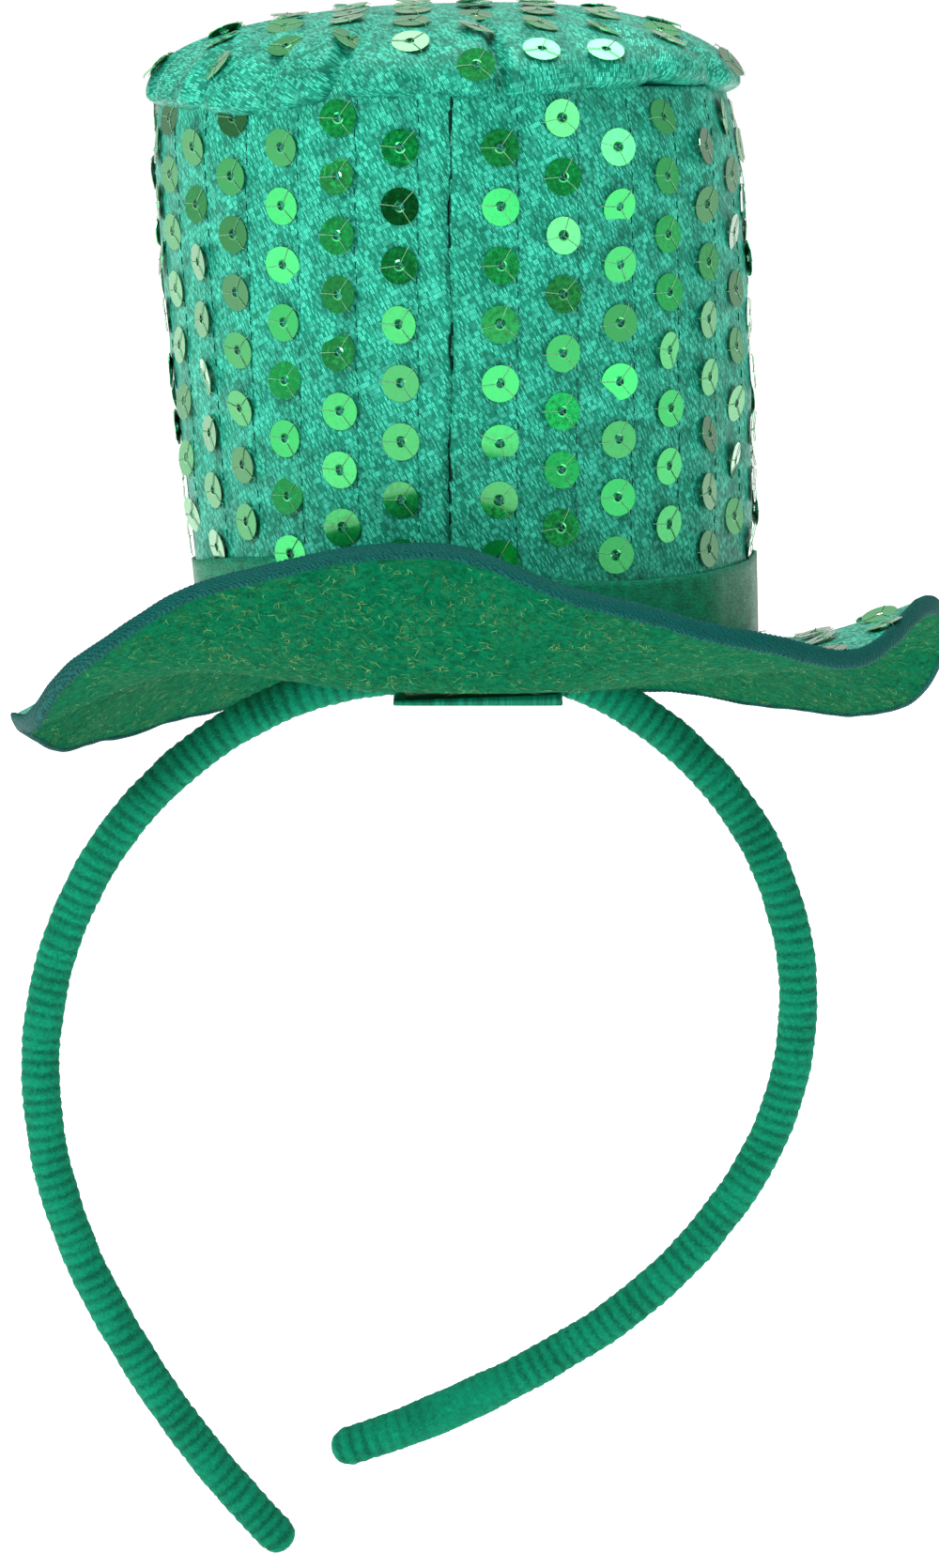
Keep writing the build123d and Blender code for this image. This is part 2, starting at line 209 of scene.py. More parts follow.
def grid_faces(rows, columns, wrap_rows=False, wrap_columns=False):
    """Corner numbers of the quads of a grid, and the row and column each corner is drawn at."""
    i, j = np.meshgrid(
        np.arange(rows - (not wrap_rows)), np.arange(columns - (not wrap_columns)), indexing="ij"
    )
    i, j = i.ravel(), j.ravel()
    row = np.stack([i, i + 1, i + 1, i], 1)
    column = np.stack([j, j, j + 1, j + 1], 1)
    return (row % rows) * columns + column % columns, row, column


def grid_piece(name, points, uv, wrap_rows=False, wrap_columns=False):
    """Piece from a grid of points. The UV grid has one more row or column where the grid wraps."""
    rows, columns = points.shape[:2]
    faces, row, column = grid_faces(rows, columns, wrap_rows, wrap_columns)
    return make_mesh(name, points, faces, uv[row, column])


def along(points):
    """Distance from the first column of a grid to each column, averaged over its rows."""
    steps = np.linalg.norm(np.diff(points, axis=1), axis=2).mean(0)
    return np.r_[0, np.cumsum(steps)]


def ripple(u, v, seed, waves, shortest, longest):
    """Sum of sine waves with seeded directions and phases, between the two wavelengths, about 1 high."""
    draw = np.random.default_rng(seed)
    total = np.zeros(np.broadcast(u, v).shape)
    for _ in range(waves):
        turn, phase = draw.uniform(0, math.pi), draw.uniform(0, FULL)
        number = FULL / draw.uniform(shortest, longest)
        total += np.sin(number * (u * math.cos(turn) + v * math.sin(turn)) + phase)
    return total / math.sqrt(waves)


def fuzz(name, roots, normals, seed, count, length, width, lie):
    """Short fibres grown from random places of a surface: each is a bent, tapering strip of two quads
    whose direction mixes the surface's normal with a random sideways way by lie (0 upright, 1 flat)."""
    draw = np.random.default_rng(seed)
    pick = draw.integers(0, len(roots), count)
    out = normals[pick]
    way = draw.normal(size=(count, 3))
    way -= out * (way * out).sum(1, keepdims=True)
    way /= np.linalg.norm(way, axis=1, keepdims=True)
    across = np.cross(out, way)
    start = roots[pick] + draw.uniform(-0.3, 0.3, (count, 1)) * MM * way
    size = length * draw.uniform(0.5, 1.3, (count, 1))
    bend = draw.normal(0, 0.25, (count, 1)) * size
    middle = start + size * 0.5 * ((1 - lie) * out + lie * way) + across * bend
    end = start + size * ((1 - lie) * 0.85 * out + lie * way)
    half = across * width / 2
    points = np.stack(
        [start - half, start + half, middle - half, middle + half, end - half * 0.2, end + half * 0.2], 1
    )
    quads = np.array([[0, 1, 3, 2], [2, 3, 5, 4]])[None] + 6 * np.arange(count)[:, None, None]
    shade = np.repeat(draw.uniform(0, 1, count), 6)
    return make_mesh(name, points, quads.reshape(-1, 4), shade=shade)


def mark(piece, body, slot, *nodes):
    """Says what body a piece rides on and which CAD nodes it stands for; slot is not used."""
    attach(piece, body)
    if nodes:
        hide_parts(*nodes)
    return piece


# ---------------------------------------------------------------- shader helpers
def add_node(tree, kind, inputs=None, **settings):
    """Node with its settings and inputs; an input given as a socket is linked."""
    node = tree.nodes.new(kind)
    for key, value in settings.items():
        setattr(node, key, value)
    for key, value in (inputs or {}).items():
        if isinstance(value, bpy.types.NodeSocket):
            tree.links.new(value, node.inputs[key])
        else:
            node.inputs[key].default_value = value
    return node


def maths(tree, operation, a, b=0.0, clamp=False):
    """Output of a Math node on a and b."""
    return add_node(tree, "ShaderNodeMath", {0: a, 1: b}, operation=operation, use_clamp=clamp).outputs[0]


def spread(tree, value, low, high, to_low=0.0, to_high=1.0):
    """Value stretched from one range to another, and held inside it."""
    inputs = {"Value": value, "From Min": low, "From Max": high, "To Min": to_low, "To Max": to_high}
    return add_node(tree, "ShaderNodeMapRange", inputs).outputs[0]


def blend_colours(tree, share, a, b):
    """Colour between a and b by share."""
    node = add_node(tree, "ShaderNodeMix", data_type="RGBA")
    for key, value in ((0, share), (6, a), (7, b)):
        if isinstance(value, bpy.types.NodeSocket):
            tree.links.new(value, node.inputs[key])
        else:
            node.inputs[key].default_value = value
    return node.outputs[2]


def opaque(value):
    """The colour with an alpha of 1."""
    return (*value, 1.0)


def new_group(name, ins, outs):
    """Shader node group with named float or vector inputs and float outputs."""
    group = bpy.data.node_groups.new(name, "ShaderNodeTree")
    for label, kind in ins:
        group.interface.new_socket(label, in_out="INPUT", socket_type=kind)
    for label in outs:
        group.interface.new_socket(label, in_out="OUTPUT", socket_type="NodeSocketFloat")
    return group, group.nodes.new("NodeGroupInput"), group.nodes.new("NodeGroupOutput")


def satin_group():
    """Slanted satin floats: masks for painted glints on a turned brick pattern whose bricks differ, and for
    painted shade in slow cloudy streaks.
    """
    name = "Satin floats"
    if name in bpy.data.node_groups:
        return bpy.data.node_groups[name]
    ins = [("Vector", "NodeSocketVector"), ("Slant", "NodeSocketFloat"), ("Fineness", "NodeSocketFloat")]
    group, source, result = new_group(name, ins, ["Glint", "Shade", "Height"])
    axis = add_node(group, "ShaderNodeCombineXYZ", {2: source.outputs["Slant"]}).outputs[0]
    turned = add_node(group, "ShaderNodeMapping", {"Vector": source.outputs[0], "Rotation": axis})
    big = add_node(group, "ShaderNodeVectorMath", {0: turned.outputs[0], 1: (1, 1, 1)}, operation="MULTIPLY")
    group.links.new(source.outputs["Fineness"], big.inputs[1])
    brick_inputs = {
        "Vector": big.outputs[0], "Color1": (0, 0, 0, 1), "Color2": (1, 1, 1, 1),
        "Mortar": (0.1, 0.1, 0.1, 1),
        "Scale": 1.0, "Mortar Size": 0.06, "Mortar Smooth": 0.8, "Brick Width": 0.9, "Row Height": 0.32,
    }  # fmt: skip
    bricks = add_node(group, "ShaderNodeTexBrick", brick_inputs, offset=0.37, offset_frequency=1)
    streak_inputs = {"Vector": big.outputs[0], "Scale": 0.22, "Detail": 4.0, "Roughness": 0.65}
    streak = add_node(group, "ShaderNodeTexNoise", streak_inputs).outputs[0]
    fleck = add_node(group, "ShaderNodeTexNoise", {"Vector": big.outputs[0], "Scale": 1.2, "Detail": 2.0})
    lit = maths(group, "ADD", bricks.outputs["Color"], maths(group, "MULTIPLY", fleck.outputs[0], 0.6))
    open_thread = maths(group, "SUBTRACT", 1.0, bricks.outputs["Fac"])
    grain = maths(group, "MULTIPLY", lit, open_thread)
    glint = maths(group, "MULTIPLY", spread(group, grain, 0.55, 1.15), spread(group, streak, 0.3, 0.62, 0.25))
    shade = spread(
        group, maths(group, "ADD", streak, maths(group, "MULTIPLY", fleck.outputs[0], 0.5)), 0.9, 0.55
    )
    group.links.new(glint, result.inputs["Glint"])
    group.links.new(shade, result.inputs["Shade"])
    group.links.new(maths(group, "SUBTRACT", grain, bricks.outputs["Fac"]), result.inputs["Height"])
    return group


def fibre_group():
    """Matted fibres: thin lines where two warped noises pass their middle value, broken by a third."""
    name = "Matted fibres"
    if name in bpy.data.node_groups:
        return bpy.data.node_groups[name]
    ins = [("Vector", "NodeSocketVector"), ("Scale", "NodeSocketFloat")]
    group, source, result = new_group(name, ins, ["Pale", "Hollow shade", "Height"])
    lines = []
    for stretch, turn in (((1.0, 0.45, 0.6), 0.5), ((0.45, 1.0, 0.8), 1.9)):
        laid = add_node(group, "ShaderNodeMapping", {0: source.outputs[0], "Rotation": (0.3, 0.2, turn)})
        laid.inputs["Scale"].default_value = stretch
        inputs = {
            "Vector": laid.outputs[0], "Scale": source.outputs["Scale"], "Detail": 3.0, "Distortion": 1.4
        }
        noise = add_node(group, "ShaderNodeTexNoise", inputs)
        off = maths(group, "ABSOLUTE", maths(group, "SUBTRACT", noise.outputs[0], 0.5))
        lines.append(spread(group, off, 0.02, 0.0))
    patch_scale = maths(group, "MULTIPLY", source.outputs["Scale"], 0.35)
    patches = add_node(
        group, "ShaderNodeTexNoise", {0: source.outputs[0], "Scale": patch_scale, "Detail": 5.0}
    )
    broken = spread(group, patches.outputs[0], 0.42, 0.6)
    both = maths(group, "MAXIMUM", lines[0], lines[1])
    fine_scale = maths(group, "MULTIPLY", source.outputs["Scale"], 2.2)
    fine_inputs = {
        0: source.outputs[0], "Scale": fine_scale, "Detail": 6.0, "Roughness": 0.7, "Distortion": 0.8
    }
    fine = add_node(group, "ShaderNodeTexNoise", fine_inputs).outputs[0]
    group.links.new(maths(group, "MULTIPLY", both, broken), result.inputs["Pale"])
    # The second output masks painted shade: it is high where the fine noise, and so the bump's height, is
    # low.
    group.links.new(spread(group, fine, 0.62, 0.36), result.inputs["Hollow shade"])
    group.links.new(maths(group, "ADD", fine, maths(group, "MULTIPLY", both, 0.3)), result.inputs["Height"])
    return group


def new_material(name):
    """A node material, its tree and its Principled shader."""
    material = bpy.data.materials.new(name)
    material.use_nodes = True
    tree = material.node_tree
    return material, tree, tree.nodes["Principled BSDF"]


def bump(tree, shader, height, strength, distance):
    """Bumps the shader's normal by this height."""
    node = add_node(tree, "ShaderNodeBump", {"Height": height, "Strength": strength, "Distance": distance})
    tree.links.new(node.outputs[0], shader.inputs["Normal"])


def cloth_uv(tree):
    """The piece's own UV map of its cloth."""
    return add_node(tree, "ShaderNodeUVMap", uv_map="Cloth").outputs[0]


def object_place(tree):
    """Object coordinates."""
    return add_node(tree, "ShaderNodeTexCoord").outputs["Object"]


def satin_material(name, base, glint, shade, slant, fineness):
    """Satin: floats with painted glints, painted shade in darker streaks, and a sheen."""
    material, tree, shader = new_material(name)
    floats = add_node(tree, "ShaderNodeGroup", node_tree=satin_group())
    tree.links.new(cloth_uv(tree), floats.inputs["Vector"])
    floats.inputs["Slant"].default_value = slant
    floats.inputs["Fineness"].default_value = fineness
    # Painted shade from the streaks and painted highlights on the floats go into the base colour.
    dark = maths(tree, "MULTIPLY", floats.outputs["Shade"], 0.8)
    dull = blend_colours(tree, dark, opaque(base), opaque(shade))
    bright = blend_colours(tree, floats.outputs["Glint"], dull, opaque(glint))
    tree.links.new(bright, shader.inputs["Base Color"])
    tree.links.new(spread(tree, floats.outputs["Glint"], 0, 1, 0.46, 0.3), shader.inputs["Roughness"])
    shader.inputs["Specular IOR Level"].default_value = 0.25
    shader.inputs["Specular Tint"].default_value = (0.4, 1.0, 0.8, 1.0)
    bump(tree, shader, floats.outputs["Height"], 0.35, 0.1 * MM)
    return material


def felt_material():
    """Felt: a body with painted shade in fibre_group's hollows, with pale fibres laid over it."""
    palette = colours()
    material, tree, shader = new_material("Needled felt")
    fibres = add_node(tree, "ShaderNodeGroup", {"Scale": 420.0}, node_tree=fibre_group())
    tree.links.new(object_place(tree), fibres.inputs["Vector"])
    # Painted shade in the felt's hollows darkens the body.
    body = blend_colours(tree, fibres.outputs["Hollow shade"], opaque(palette.felt), opaque(palette.felt_hollow_shade))
    pale = maths(tree, "MULTIPLY", fibres.outputs["Pale"], 0.22)
    colour_out = blend_colours(tree, pale, body, opaque(palette.fibre))
    tree.links.new(colour_out, shader.inputs["Base Color"])
    tree.links.new(spread(tree, fibres.outputs["Hollow shade"], 0, 1, 0.85, 1.0), shader.inputs["Roughness"])
    shader.inputs["Specular IOR Level"].default_value = 0.03
    bump(tree, shader, fibres.outputs["Height"], 0.9, 0.35 * MM)
    return material


def plush_material():
    """Ribbed velvet: painted shade in the grooves and in the hollows of fine tufts."""
    palette = colours()
    material, tree, shader = new_material("Ribbed plush")
    fibres = add_node(tree, "ShaderNodeGroup", {"Scale": 700.0}, node_tree=fibre_group())
    tree.links.new(object_place(tree), fibres.inputs["Vector"])
    groove = add_node(tree, "ShaderNodeAttribute", attribute_name="shade").outputs["Fac"]
    # Painted shade: each point's groove shade plus the hollow shade of the fine tufts.
    depth = maths(tree, "ADD", groove, maths(tree, "MULTIPLY", fibres.outputs["Hollow shade"], 0.6), clamp=True)
    body = blend_colours(tree, depth, opaque(palette.plush), opaque(palette.plush_groove_shade))
    tree.links.new(body, shader.inputs["Base Color"])
    tree.links.new(spread(tree, depth, 0, 1, 0.75, 0.95), shader.inputs["Roughness"])
    shader.inputs["Specular IOR Level"].default_value = 0.1
    shader.inputs["Sheen Weight"].default_value = 0.25
    shader.inputs["Sheen Roughness"].default_value = 0.4
    shader.inputs["Sheen Tint"].default_value = (0.1, 0.9, 0.6, 1.0)
    bump(tree, shader, fibres.outputs["Height"], 0.8, 0.3 * MM)
    return material


def sequin_material():
    """Metallised film: a painted reflection, dimmer or brighter by row and by sequin, fine scuffs and a clear
    coat.
    """
    palette = colours()
    material, tree, shader = new_material("Sequin film")
    reflection_share = add_node(tree, "ShaderNodeAttribute", attribute_name="shade").outputs["Fac"]
    scuffs = add_node(tree, "ShaderNodeTexNoise", {0: object_place(tree), "Scale": 1500.0, "Detail": 3.0})
    mixed = blend_colours(tree, reflection_share, opaque(palette.sequin_dim_reflection), opaque(palette.sequin))
    tree.links.new(mixed, shader.inputs["Base Color"])
    tree.links.new(spread(tree, scuffs.outputs[0], 0.35, 0.7, 0.12, 0.3), shader.inputs["Roughness"])
    shader.inputs["Metallic"].default_value = 0.85
    shader.inputs["Coat Weight"].default_value = 1.0
    shader.inputs["Coat Roughness"].default_value = 0.08
    bump(tree, shader, scuffs.outputs[0], 0.03, 0.1 * MM)
    return material


def thread_material(name, base, twist):
    """Twisted yarn: slanting bands with painted shade between the strands, over fine fuzz."""
    material, tree, shader = new_material(name)
    wave_inputs = {
        0: object_place(tree), "Scale": twist, "Distortion": 6.0, "Detail": 2.0, "Detail Scale": 2.0
    }
    wave = add_node(tree, "ShaderNodeTexWave", wave_inputs, bands_direction="DIAGONAL").outputs["Fac"]
    # The dark bands are painted shade between the twisted strands.
    dark = tuple(0.35 * c for c in base)
    tree.links.new(blend_colours(tree, wave, opaque(dark), opaque(base)), shader.inputs["Base Color"])
    shader.inputs["Roughness"].default_value = 0.6
    shader.inputs["Specular IOR Level"].default_value = 0.08
    bump(tree, shader, wave, 0.4, 0.1 * MM)
    return material


def fibre_material(name, base, spread_of_light):
    """Fibres of one colour, each a little lighter or darker than the next."""
    material, tree, shader = new_material(name)
    each = add_node(tree, "ShaderNodeAttribute", attribute_name="shade").outputs["Fac"]
    light = tuple(min(1.0, c * (1 + spread_of_light) + 0.01) for c in base)
    dark = tuple(c * (1 - spread_of_light) for c in base)
    tree.links.new(blend_colours(tree, each, opaque(dark), opaque(light)), shader.inputs["Base Color"])
    shader.inputs["Roughness"].default_value = 0.8
    shader.inputs["Specular IOR Level"].default_value = 0.2
    return material


def plain_material(name, base, roughness, scale):
    """Mottled finish for the pieces inside."""
    material, tree, shader = new_material(name)
    noise_inputs = {0: object_place(tree), "Scale": scale, "Detail": 5.0}
    noise = add_node(tree, "ShaderNodeTexNoise", noise_inputs).outputs[0]
    dark = tuple(0.6 * c for c in base)
    tree.links.new(blend_colours(tree, noise, opaque(dark), opaque(base)), shader.inputs["Base Color"])
    shader.inputs["Roughness"].default_value = roughness
    bump(tree, shader, noise, 0.3, 0.1 * MM)
    return material


def give(piece, material):
    """Gives the piece this one material."""
    piece.data.materials.clear()
    piece.data.materials.append(material)


def satin_of_crown():
    """The crown's satin, made once."""
    name = "Crown satin"
    palette = colours()
    made = bpy.data.materials.get(name)
    return made or satin_material(name, palette.satin, palette.satin_glint, palette.satin_shade, 1.13, 11.0)


# ---------------------------------------------------------------- shapes
def crown_middle(share):
    """X of the crown's axis: it leans evenly from the base to the top."""
    return CROWN_LEAN * share


def seam_turn(share):
    """Bearing of the upright front seam on the leaning crown."""
    size = sizes()
    reach = crown_radius(share)
    return FRONT + np.arcsin((-size.seam_drop - crown_middle(share)) / reach)


def crown_radius(share):
    """Smooth radius of the satin from base to top."""
    size = sizes()
    base, belly, top = size.crown_base_radius, size.crown_belly_radius, size.crown_top_radius
    knots = [0.0, 0.35, 0.75, 0.93, 1.0]
    return curve_through(
        knots, [base, 0.45 * base + 0.55 * belly, belly, 0.3 * top + 0.7 * belly, top], share
    )


# Broad dents and bulges of the soft side: bearing, share of the height, spread in both, and depth in mm.
DENTS = [
    (FRONT - 0.95, 0.62, 0.35, 0.16, -0.9), (FRONT - 0.45, 0.35, 0.30, 0.22, 0.6),
    (FRONT + 0.55, 0.75, 0.28, 0.20, -0.8), (FRONT + 1.15, 0.40, 0.32, 0.18, 0.5),
    (FRONT - 0.15, 0.88, 0.22, 0.08, -0.6), (0.7, 0.55, 0.40, 0.20, -1.0),
    (1.6, 0.35, 0.35, 0.25, 0.7), (2.5, 0.70, 0.40, 0.18, -0.9),
]  # fmt: skip


def crown_point(turn, share):
    """Crown side: a leaning tube whose radius swells at the belly, drawn in along the front seam,
    fluted, dented and slightly rippled. Dents are held, by an exponential of their depth,
    to less than the gap to the stiffening behind."""
    turn, share = np.broadcast_arrays(np.asarray(turn, float), np.asarray(share, float))
    radius = crown_radius(share)
    for at, up, wide, tall, depth in DENTS:
        away = (turn - at + math.pi) % FULL - math.pi
        radius = radius + depth * MM * np.exp(-((away / wide) ** 2) - ((share - up) / tall) ** 2)
    round_way, rise = turn * sizes().crown_belly_radius, share * CROWN_RISE
    # Whole numbers of waves round the crown close the surface at its back.
    lean = 2.6 * share
    radius = radius + 0.28 * MM * (np.sin(9 * turn + 5 * share + 1.0) + 0.6 * np.sin(17 * turn - lean))
    radius = radius + 0.16 * MM * np.sin(3 * turn + FULL * share * 5) * np.cos(5 * turn + 1.3)
    from_seam = turn - seam_turn(share) - 0.35 * MM / radius * np.sin(FULL * 2.3 * share)
    from_seam = ((from_seam + math.pi) % FULL - math.pi) * radius
    radius = radius - 1.1 * MM * np.exp(-((from_seam / (0.5 * MM)) ** 2))
    radius = radius + 0.6 * MM * np.exp(-((from_seam / (3.2 * MM)) ** 2))
    off = radius - crown_radius(share)
    radius = radius - off + np.where(off < 0, 0.42 * MM * np.expm1(off / (0.42 * MM)), off)
    x = crown_middle(share) + radius * np.cos(turn)
    return np.stack([x, radius * np.sin(turn), CROWN_LOW + share * CROWN_RISE], -1)


def surface_frame(place, u, v, step_u, step_v):
    """Points of a surface with unit vectors along u, along v made square to it, and outwards."""
    here = place(u, v)
    side = place(u + step_u, v) - place(u - step_u, v)
    side /= np.linalg.norm(side, axis=-1, keepdims=True)
    up = place(u, v + step_v) - place(u, v - step_v)
    out = np.cross(side, up)
    out /= np.linalg.norm(out, axis=-1, keepdims=True)
    return here, side, np.cross(out, side), out


# Height of the tip's lower edge over the seam, by bearing in degrees, in mm.
TIP_EDGE = [(0, 0.6), (60, -0.5), (120, 0.8), (170, -1.0), (209, -2.3), (231, -3.4), (249, -0.4), (264, 0.0),
            (280, -0.2), (305, 1.2), (318, 2.2), (340, 1.0)]  # fmt: skip
# Tucks in the tip's edge: bearing in degrees, half width in degrees and depth in mm.
TUCKS = [(249, 2.0, 2.6), (281, 1.6, 2.8), (266, 3.0, 0.7), (232, 3.5, 1.2), (215, 3.0, 1.4), (300, 4.0, 1.0),
         (316, 2.5, 1.3), (336, 4.0, 1.4), (8, 2.5, 1.8), (30, 4.5, 1.1), (55, 2.5, 1.9), (80, 4.0, 1.2),
         (101, 2.0, 2.0), (125, 4.0, 1.1), (148, 2.5, 1.8), (170, 4.0, 1.2), (192, 2.5, 1.7)]  # fmt: skip


def tip_point(turn, lift):
    """Puffed tip: an ellipse turned about the crown's axis, carried on below its widest ring to tuck
    under, with a wavy lower edge and tucks that fade towards the middle. Lift is the ellipse's angle."""
    turn, lift = np.broadcast_arrays(np.asarray(turn, float), np.asarray(lift, float))
    over = np.clip(lift, 0, None)
    under = np.clip(lift, None, 0)
    reach = TIP_RADIUS * np.cos(lift) ** 0.86 + 0.9 * MM * np.exp(-(((over - 0.1) / 0.45) ** 2))
    edge = MM * curve_through(*zip(*TIP_EDGE), np.degrees(turn), 360)
    fade = np.cos(over) ** 1.5
    puff = TIP_PUFF - 0.5 * MM + 0.9 * MM * np.cos(turn - 0.3) * np.sin(2 * over)
    height = CROWN_HIGH + puff * np.sin(over) + 5.0 * MM * np.sin(under) + edge * np.exp(-((over / 0.4) ** 2))
    pull = np.zeros_like(reach)
    for at, wide, depth in TUCKS:
        away = (turn - math.radians(at) + math.pi) % FULL - math.pi
        wide = math.radians(wide)
        pull += depth * MM * (np.exp(-((away / wide) ** 2)) - 0.28 * np.exp(-((away / (3 * wide)) ** 2)))
    pull *= np.exp(-(((over - 0.2) / 0.55) ** 2)) * 1.7
    pull += 0.22 * MM * np.sin(23 * turn + 2 * over) * fade + 0.25 * MM * np.sin(13 * turn) * np.sin(2 * over)
    reach = reach - pull * (0.35 + 0.65 * np.cos(over))
    height = height - pull * 0.75 * np.sin(over)
    x = crown_middle(1.0) + reach * np.cos(turn)
    return np.stack([x, reach * np.sin(turn), height], -1)


# How high the rim stands over the flat brim, by bearing in degrees, as a share of its bent width.
RIM_LIFT = [
    (0, 0.083), (15, -0.293), (40, -0.465), (65, -0.408), (90, -0.389), (120, -0.439), (150, -0.580),
    (165, -0.570), (185, -0.366), (200, -0.318), (215, 0.022), (230, 0.404), (250, 0.627), (265, 0.691),
    (284, 0.449), (300, 0.248), (320, 0.092), (340, 0.287),
]  # fmt: skip


def brim_point(turn, share, offset):
    """Brim: flat out to share 0, then curled towards the rim at share 1 by a power law of the rim's
    lift, drawn in so that its width is kept, and moved square to the cloth by offset. In front, it sags
    where it starts to curl."""
    turn, share = np.broadcast_arrays(np.asarray(turn, float), np.asarray(share, float))
    size = sizes()
    bend = size.brim_radius - size.brim_flat
    lift = bend * curve_through(*zip(*RIM_LIFT), np.degrees(turn), 360)
    run = np.sqrt(bend**2 - lift**2)
    over = np.clip(share, 0, None)
    reach = size.brim_flat + run * share
    height = lift * over**1.4
    climb = 1.4 * lift * over**0.4 / run
    wave = 0.35 * MM * over * np.sin(7 * turn + 2.0) + 0.2 * MM * over * np.sin(19 * turn)
    steep = np.hypot(1, climb)
    reach = np.where(share < 0, size.brim_flat * (1 + share), reach - offset * climb / steep)
    away = (turn - FRONT + math.pi) % FULL - math.pi
    out = (size.brim_flat + run * share) / MM
    sag = 1.9 * MM * np.exp(-((away / 0.75) ** 4) - (((out - 47) / 11) ** 2))
    height = FELT_UNDER + height + wave - sag + offset / steep
    return np.stack([reach * np.cos(turn), reach * np.sin(turn), height], -1)


def flat_uv(points):
    """UV straight down onto a grid that may wrap both ways, in metres."""
    return np.pad(points[..., :2], ((0, 1), (0, 1), (0, 0)), mode="wrap")


# ---------------------------------------------------------------- crown
def make_crown_side():
    """Grid round the crown, denser at the seam, with its top edge turned in."""
    count = 420
    even = np.linspace(0, FULL, count, endpoint=False)
    turns = even + FRONT - 0.6 * np.sin(even) * (1 + np.cos(even)) / 4 * 1.6
    shares = np.linspace(0, 1, 120)
    points = crown_point(turns[:, None], shares[None])
    hem = points[:, -1:] * 1.0
    hem[..., :2] = crown_middle(1.0) * np.array([1, 0]) + (hem[..., :2] - [crown_middle(1.0), 0]) * 0.9
    points = np.concatenate([points, hem], 1)
    rise = np.r_[shares * CROWN_RISE, CROWN_RISE + 4 * MM]
    round_way = np.r_[turns, turns[0] + FULL] * sizes().crown_belly_radius
    uv = np.stack(np.broadcast_arrays(round_way[:, None], rise[None]), -1)
    piece = grid_piece("crown_side_satin", points, uv, wrap_rows=True)
    give(piece, satin_of_crown())
    return mark(piece, "root", "satin", "crown_side")


def make_tip():
    """Closed puffed tip: it stands for the tip's stuffing, stiffening and sewn edge as well."""
    turns = np.linspace(0, FULL, 480, endpoint=False)
    lifts = np.r_[np.linspace(-0.55, 0, 10)[:-1], np.linspace(0, 1.565, 90)]
    points = tip_point(turns[:, None], lifts[None])
    run = along(points)
    run = run[-1] - run
    way = np.r_[turns, turns[0]]
    uv = np.stack([run[None] * np.cos(way)[:, None], run[None] * np.sin(way)[:, None]], -1)
    piece = grid_piece("tip_satin", points, uv, wrap_rows=True)
    close_last_ring(piece, len(turns), len(lifts))
    give(piece, satin_of_crown())
    return mark(piece, "root", "satin", "crown_tip", "tip_wadding", "tip_interlining", "tip_seam_thread")


def close_last_ring(piece, rows, columns):
    """Merges a grid's tiny last ring into one pole."""
    mesh = piece.data
    places = np.empty(len(mesh.vertices) * 3, np.float32)
    mesh.vertices.foreach_get("co", places)
    places = places.reshape(-1, 3)
    last = np.arange(rows) * columns + columns - 1
    places[last] = places[last].mean(0)
    mesh.vertices.foreach_set("co", places.ravel())
    merge = piece.modifiers.new("Close pole", "WELD")
    merge.merge_threshold = 0.005 * MM


def make_ribbon():
    """Flat strip carried round the crown's foot: its top edge rises and falls with the bearing."""
    size = sizes()
    turns = np.linspace(0, FULL, 360, endpoint=False)
    top_knots = [
        (0, 0.8), (40, 0.0), (90, 0.3), (150, -0.2), (185, 0.0), (228, 2.6), (262, 1.4), (300, -0.6),
        (335, 0.2)
    ]
    top = size.ribbon_width + MM * curve_through(*zip(*top_knots), np.degrees(turns), 360)
    across = np.linspace(0, 1, 14)
    thick = 0.45 * MM
    shares = across[None] * top[:, None] / CROWN_RISE
    here, _, _, out = surface_frame(crown_point, turns[:, None], shares, 0.01, 0.01)
    slack = 0.28 * MM + 0.22 * MM * np.sin(11 * turns)[:, None] * across[None] ** 2
    outer = here + out * (slack + thick)[..., None]
    inner = here[:, ::-1] + out[:, ::-1] * slack[:, ::-1, None]
    points = np.concatenate([outer, inner], 1)
    width = np.r_[across, across[::-1]] * size.ribbon_width
    round_way = np.r_[turns, FULL] * size.crown_base_radius
    uv = np.stack(np.broadcast_arrays(round_way[:, None], np.r_[width, width[0]][None]), -1)
    piece = grid_piece("ribbon_cloth", points, uv, wrap_rows=True, wrap_columns=True)
    palette = colours()
    # Painted highlight and painted shade colours of the ribbon's satin.
    glint = tuple(min(1.0, 1.9 * c) for c in palette.ribbon)
    shade = tuple(0.45 * c for c in palette.ribbon)
    give(piece, satin_material("Ribbon satin", palette.ribbon, glint, shade, 0.12, 17.0))
    return mark(piece, "root", "ribbon", "hat_ribbon")


# ---------------------------------------------------------------- brim
def make_felt():
    """Closed sheet: underside from the middle to the rim, round the cut edge, and back over the top."""
    size = sizes()
    turns = np.linspace(0, FULL, 360, endpoint=False)
    shares = np.r_[-0.995, -0.6, -0.3, -0.1, np.linspace(0, 1, 40)]
    under = brim_point(turns[:, None], shares[None], 0.0)
    over = brim_point(turns[:, None], shares[None, ::-1], size.felt_thickness)
    points = np.concatenate([under, over], 1)
    piece = grid_piece("felt_sheet", points, flat_uv(points), wrap_rows=True, wrap_columns=True)
    give(piece, felt_material())
    return mark(piece, "root", "felt", "brim_felt")


